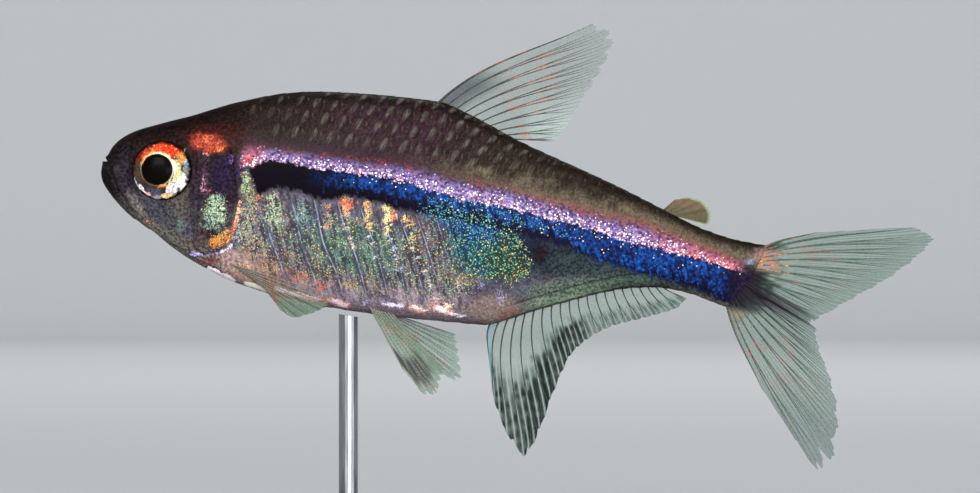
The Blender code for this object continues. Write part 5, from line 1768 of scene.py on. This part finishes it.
def dorsal_ray_paint(run, points):
    """Dark strands with orange between a third and two thirds of the way out."""
    orange = rise(run, 0.25, 0.38) * rise(run, 0.76, 0.60) * rise(cloud(points, 0.40, 37), 0.42, 0.62)
    return laid_over(
        plain(points, "3c342c"), ("a8582f", 0.8 * orange), ("a8a898", 0.6 * rise(run, 0.75, 0.98))
    )


def dark_ray_paint(run, points):
    """Thin dark rays that pale towards the margin."""
    return laid_over(plain(points, "3c4038"), ("8b9a8c", 0.5 * rise(run, 0.80, 1.0)))


def tail_ray_paint(run, points):
    """Black where they leave the tail spot, green-grey with red streaks beyond."""
    station, height = points[:, 0], points[:, 2]
    red = rise(cloud(points, 0.7, 39), 0.64, 0.8) * rise(station, 49, 46)
    gold = ridge(height - 0.4, 0.6) * rise(station, 44.5, 43.0) * rise(cloud(points, 0.3, 40), 0.5, 0.7)
    black = ridge(height + 1.9 + 0.34 * (station - 42), 0.9 + 0.12 * (station - 41))
    black = black * rise(station, 48.5, 45.5)
    paint = laid_over(
        plain(points, "46544a"),
        ("8c4a3c", 0.7 * red),
        ("e0a050", gold),
        ("0c090e", black),
        ("a3b0a4", 0.4 * rise(run, 0.8, 1.0)),
    )
    dark = rise(height, -0.10, -0.50) * rise(height, -3.1, -2.7)
    rooted, _ = with_tail_root(paint, points)
    return paint + (rooted - paint) * dark[:, None]


def clear_ray_paint(run, points):
    """Pale rays with a hint of orange."""
    return laid_over(plain(points, "7c7a6c"), ("a8623c", 0.6 * rise(cloud(points, 0.6, 43), 0.6, 0.8)))


def fin_shapes():
    """Each fin's sheet, its paint, and how its rays split."""
    pectoral_root, pelvic_root = {}, {}
    for sign in (-1, 1):
        rows = [(ray, x, sign * (float(side_of_body(x, z)) + 0.10), z) for ray, x, z in PECTORAL_BASE]
        pectoral_root[sign] = curve_by_ray(rows)
        rows = []
        for ray, x, y in PELVIC_BASE:
            middle = float(middle_height(x))
            share = min(y / float(half_width(x)), 1.0)
            depth = (middle - float(belly_height(x))) * (1 - share**BELLY_POWER) ** (1 / BELLY_POWER)
            rows.append((ray, x, sign * y, middle - depth))
        pelvic_root[sign] = curve_by_ray(rows)
    upper_base = tail_base(TAIL_BASE_TOP, TAIL_FORK + GAP / 2)
    lower_base = tail_base(TAIL_FORK - GAP / 2, TAIL_BASE_BOTTOM)
    late = {"first": 0.42, "second": 0.70, "spread": 0.22}
    early = {"first": 0.22, "second": 0.55, "spread": 0.25}
    paired = {"first": 0.06, "second": 0.45, "spread": 0.30}
    back_base = ridge_base(DORSAL_BASE, back_height)
    dorsal = FinShape(back_base, flat_margin(DORSAL_MARGIN), 10, (-0.045, 0.0), 0.03, 1)
    anal = FinShape(ridge_base(ANAL_BASE, belly_height), flat_margin(ANAL_MARGIN), 21, (0.06, 0.03), 0.035, 2)
    upper = FinShape(upper_base, flat_margin(UPPER_TAIL_MARGIN), 10, (-0.03, 0.0), 0.02, 3)
    tears = ((6.45, 0.10, 0.10), (6.9, 0.06, 0.08), (7.35, 0.07, 0.08))
    lower = FinShape(lower_base, flat_margin(LOWER_TAIL_MARGIN), 9, (0.0, 0.03), 0.03, 4, tears=tears)
    shapes = {
        "dorsal_fin": (dorsal, dorsal_paint, dorsal_ray_paint, paired, 0.075),
        "anal_fin": (anal, anal_paint, dark_ray_paint, late, 0.060),
        "tail_fin_upper": (upper, tail_paint, tail_ray_paint, {**paired, "unbranched": (1,)}, 0.080),
        "tail_fin_lower": (lower, tail_paint, tail_ray_paint, {**paired, "unbranched": (8,)}, 0.080),
    }
    for side, sign, seed in (("left", -1, 5), ("right", 1, 6)):
        pectoral = FinShape(
            pectoral_root[sign], side_margin(PECTORAL_MARGIN, sign), 11, notch=0.03, seed=seed
        )
        shapes["pectoral_fin_" + side] = (pectoral, pectoral_paint, clear_ray_paint, late, 0.050)
    for side, sign, seed, margin, paint in (
        ("left", -1, 7, LEFT_PELVIC_MARGIN, pelvic_paint),
        ("right", 1, 8, RIGHT_PELVIC_MARGIN, far_pelvic_paint),
    ):
        pelvic = FinShape(pelvic_root[sign], side_margin(margin, sign), 8, notch=0.04, seed=seed)
        shapes["pelvic_fin_" + side] = (pelvic, paint, clear_ray_paint, early, 0.065)
    return shapes


def all_fins():
    """Every fin as a membrane and its rays."""
    film = membrane_material()
    trees = ray_tree(ray_material())
    for node, (shape, film_paint, ray_paint, splits, width) in fin_shapes().items():
        sheet = membrane(node + "_membrane", shape, film_paint)
        sheet.data.materials.append(film)
        rays = fin_rays(node + "_rays", ray_strands(shape, splits, width), trees, ray_paint)
        for piece in (sheet, rays):
            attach(piece, "root")
            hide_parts(node)
    flap = FinShape(ridge_base(ADIPOSE_BASE, back_height), flat_margin(ADIPOSE_MARGIN), 9, notch=0.0, seed=9)
    flap_sheet = membrane("adipose_fin_flap", flap, adipose_paint)
    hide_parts("adipose_fin")
    # The two lobes of the tail are one fin: a web of skin joins their inner rays
    fork = tail_base(TAIL_FORK + GAP, TAIL_FORK - GAP)
    web = FinShape(fork, flat_margin(FORK_MARGIN), 4, notch=0.05, seed=3)
    web_sheet = membrane("tail_fin_web", web, tail_paint)
    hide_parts("tail_fin_upper", "tail_fin_lower")
    for sheet in (flap_sheet, web_sheet):
        sheet.data.materials.append(film)
        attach(sheet, "root")


# Stand


def stand_finish(name, grain, detail, shades, rough, relief, **more):
    """A finish of the stand: lightness, roughness and fine relief that follow its grain, drawn per metre."""
    made, tree = new_material(name)
    place = add(tree, "ShaderNodeTexCoord").outputs["Object"]
    drawn = add(tree, "ShaderNodeMapping", {"Vector": place, "Scale": grain})
    marks = add(tree, NOISE, {"Vector": drawn, "Scale": 1.0, "Detail": detail}).outputs["Fac"]
    feeds = {
        "Base Color": add(tree, RAMP, (marks,), steps=shades),
        "Roughness": add(tree, SCALED, (marks, *rough)),
        "Normal": add(tree, "ShaderNodeBump", {"Height": marks, "Strength": relief, "Distance": 0.00002}),
    }
    finish_material(tree, {**feeds, **more})
    return made


def dress_stand():
    """Better finishes for the stand's own solids."""
    # Satin black acrylic, moulded: a dim, even sheen
    black = stand_finish(
        "satin_black_acrylic",
        (900.0,) * 3,
        4.0,
        ((0.35, "141414"), (0.70, "1d1d1e")),
        (0.18, 0.30),
        0.08,
        IOR=1.49,
    )
    # Brushed steel: bright, with fine streaks along the rod
    steel = stand_finish(
        "brushed_steel_rod",
        (9000.0, 9000.0, 500.0),
        2.0,
        ((0.3, "8d8f92"), (0.7, "b4b6b9")),
        (0.25, 0.22),
        0.10,
        Metallic=1.0,
    )
    for node, finish in (("stand_base", black), ("stand_rod", steel)):
        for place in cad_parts[node].material_slots:
            place.material = finish


# Room: floor, light and camera


# The floor is flat to this radius, then curves up this wide and high into a wall, all in millimetres
FLOOR_RADIUS = 790
CURVE_WIDE = 260
CURVE_HIGH = 520
WALL_TOP = 800.0
PHOTO_WIDTH_MM = 61.25
VIEW_CENTRE = Vector((-1.725, 0.0, 19.04))
LENS_MM = 200.0
SENSOR_MM = 36.0


def room():
    """A plain pale floor that curves up into a round backdrop."""
    turns = [math.pi / 2 * k / 24 for k in range(25)]
    rings = [
        (FLOOR_RADIUS + CURVE_WIDE * math.sin(turn), CURVE_HIGH * (1 - math.cos(turn)))
        for turn in turns
    ]
    rings.append((FLOOR_RADIUS + CURVE_WIDE, WALL_TOP))
    around = 96
    turns = [2 * math.pi * k / around for k in range(around)]
    points = [(out * math.cos(turn), out * math.sin(turn), height) for out, height in rings for turn in turns]
    index, following, faces = tube(len(rings), around)
    faces += [(index.size, index[0, k], following[0, k]) for k in range(around)]
    mesh = bpy.data.meshes.new("studio_floor")
    mesh.from_pydata([*points, (0.0, 0.0, 0.0)], [], [tuple(map(int, f)) for f in faces])
    mesh.transform(Matrix.Scale(MM, 4))
    smooth(mesh)
    # Matt card: an even, pale ground without a shine of its own
    made, tree = new_material("pale_studio_card")
    finish_material(tree, {"Base Color": colour("c6c8ca"), "Roughness": 0.85})
    mesh.materials.append(made)
    floor = in_scene("studio_floor", mesh)


def light(name, place, size, power, hex_code="ffffff", faces=VIEW_CENTRE * MM):
    """One soft panel of light that faces the fish, or another place."""
    data = bpy.data.lights.new(name, "AREA")
    data.shape = "RECTANGLE"
    data.size, data.size_y = size
    data.energy = power
    data.color = colour(hex_code)[:3]
    made = in_scene(name, data)
    made.location = Vector(place)
    made.rotation_mode = "QUATERNION"
    made.rotation_quaternion = (faces - made.location).to_track_quat("-Z", "Y")


def lights_and_camera():
    """Soft studio light and a long lens level with the fish, framed as the photograph."""
    light("key_panel", (-0.16, -0.56, 0.32), (0.26, 0.26), 4.1)
    light("fill_panel", (0.20, -0.46, 0.07), (0.40, 0.12), 2.1, "f2f6ff")
    light("back_panel", (0.15, 0.50, 0.60), (0.40, 0.30), 1.2)
    light("backdrop_panel", (0.0, 0.40, 0.55), (0.80, 0.20), 2.0, faces=Vector((0.0, 1.0, 0.0)))
    scene = bpy.context.scene
    scene.world = bpy.data.worlds.new("studio_air")
    scene.world.use_nodes = True
    sky = scene.world.node_tree.nodes["Background"]
    sky.inputs["Color"].default_value = colour("f2f5f7")
    sky.inputs["Strength"].default_value = 0.22
    data = bpy.data.cameras.new("photo_camera")
    data.lens = LENS_MM
    data.sensor_width = SENSOR_MM
    data.clip_start = 0.01
    data.clip_end = 5.0
    scene.camera = in_scene("photo_camera", data)
    distance = PHOTO_WIDTH_MM * LENS_MM / SENSOR_MM
    scene.camera.location = (VIEW_CENTRE - Vector((0.0, distance, 0.0))) * MM
    scene.camera.rotation_euler = (math.pi / 2, 0.0, 0.0)
    scene.view_settings.view_transform = "Standard"


def dress_fish():
    """Skin and scales over the flesh, then the eyes."""
    skin = fish_skin()
    skin.data.materials.append(skin_material("wet_pigmented_fish_skin", on_scales=False))
    scales = scale_coat(skin, skin_material("wet_fish_scale", on_scales=True))
    for piece in (skin, scales):
        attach(piece, "root")
        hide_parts("head", "trunk", "tail_stem", "gill_cover_left", "gill_cover_right")
    cornea = eye_material()
    for word, sign in (("left", -1), ("right", 1)):
        eye(word, sign, cornea)


dress_fish()
all_fins()
dress_stand()
room()
lights_and_camera()
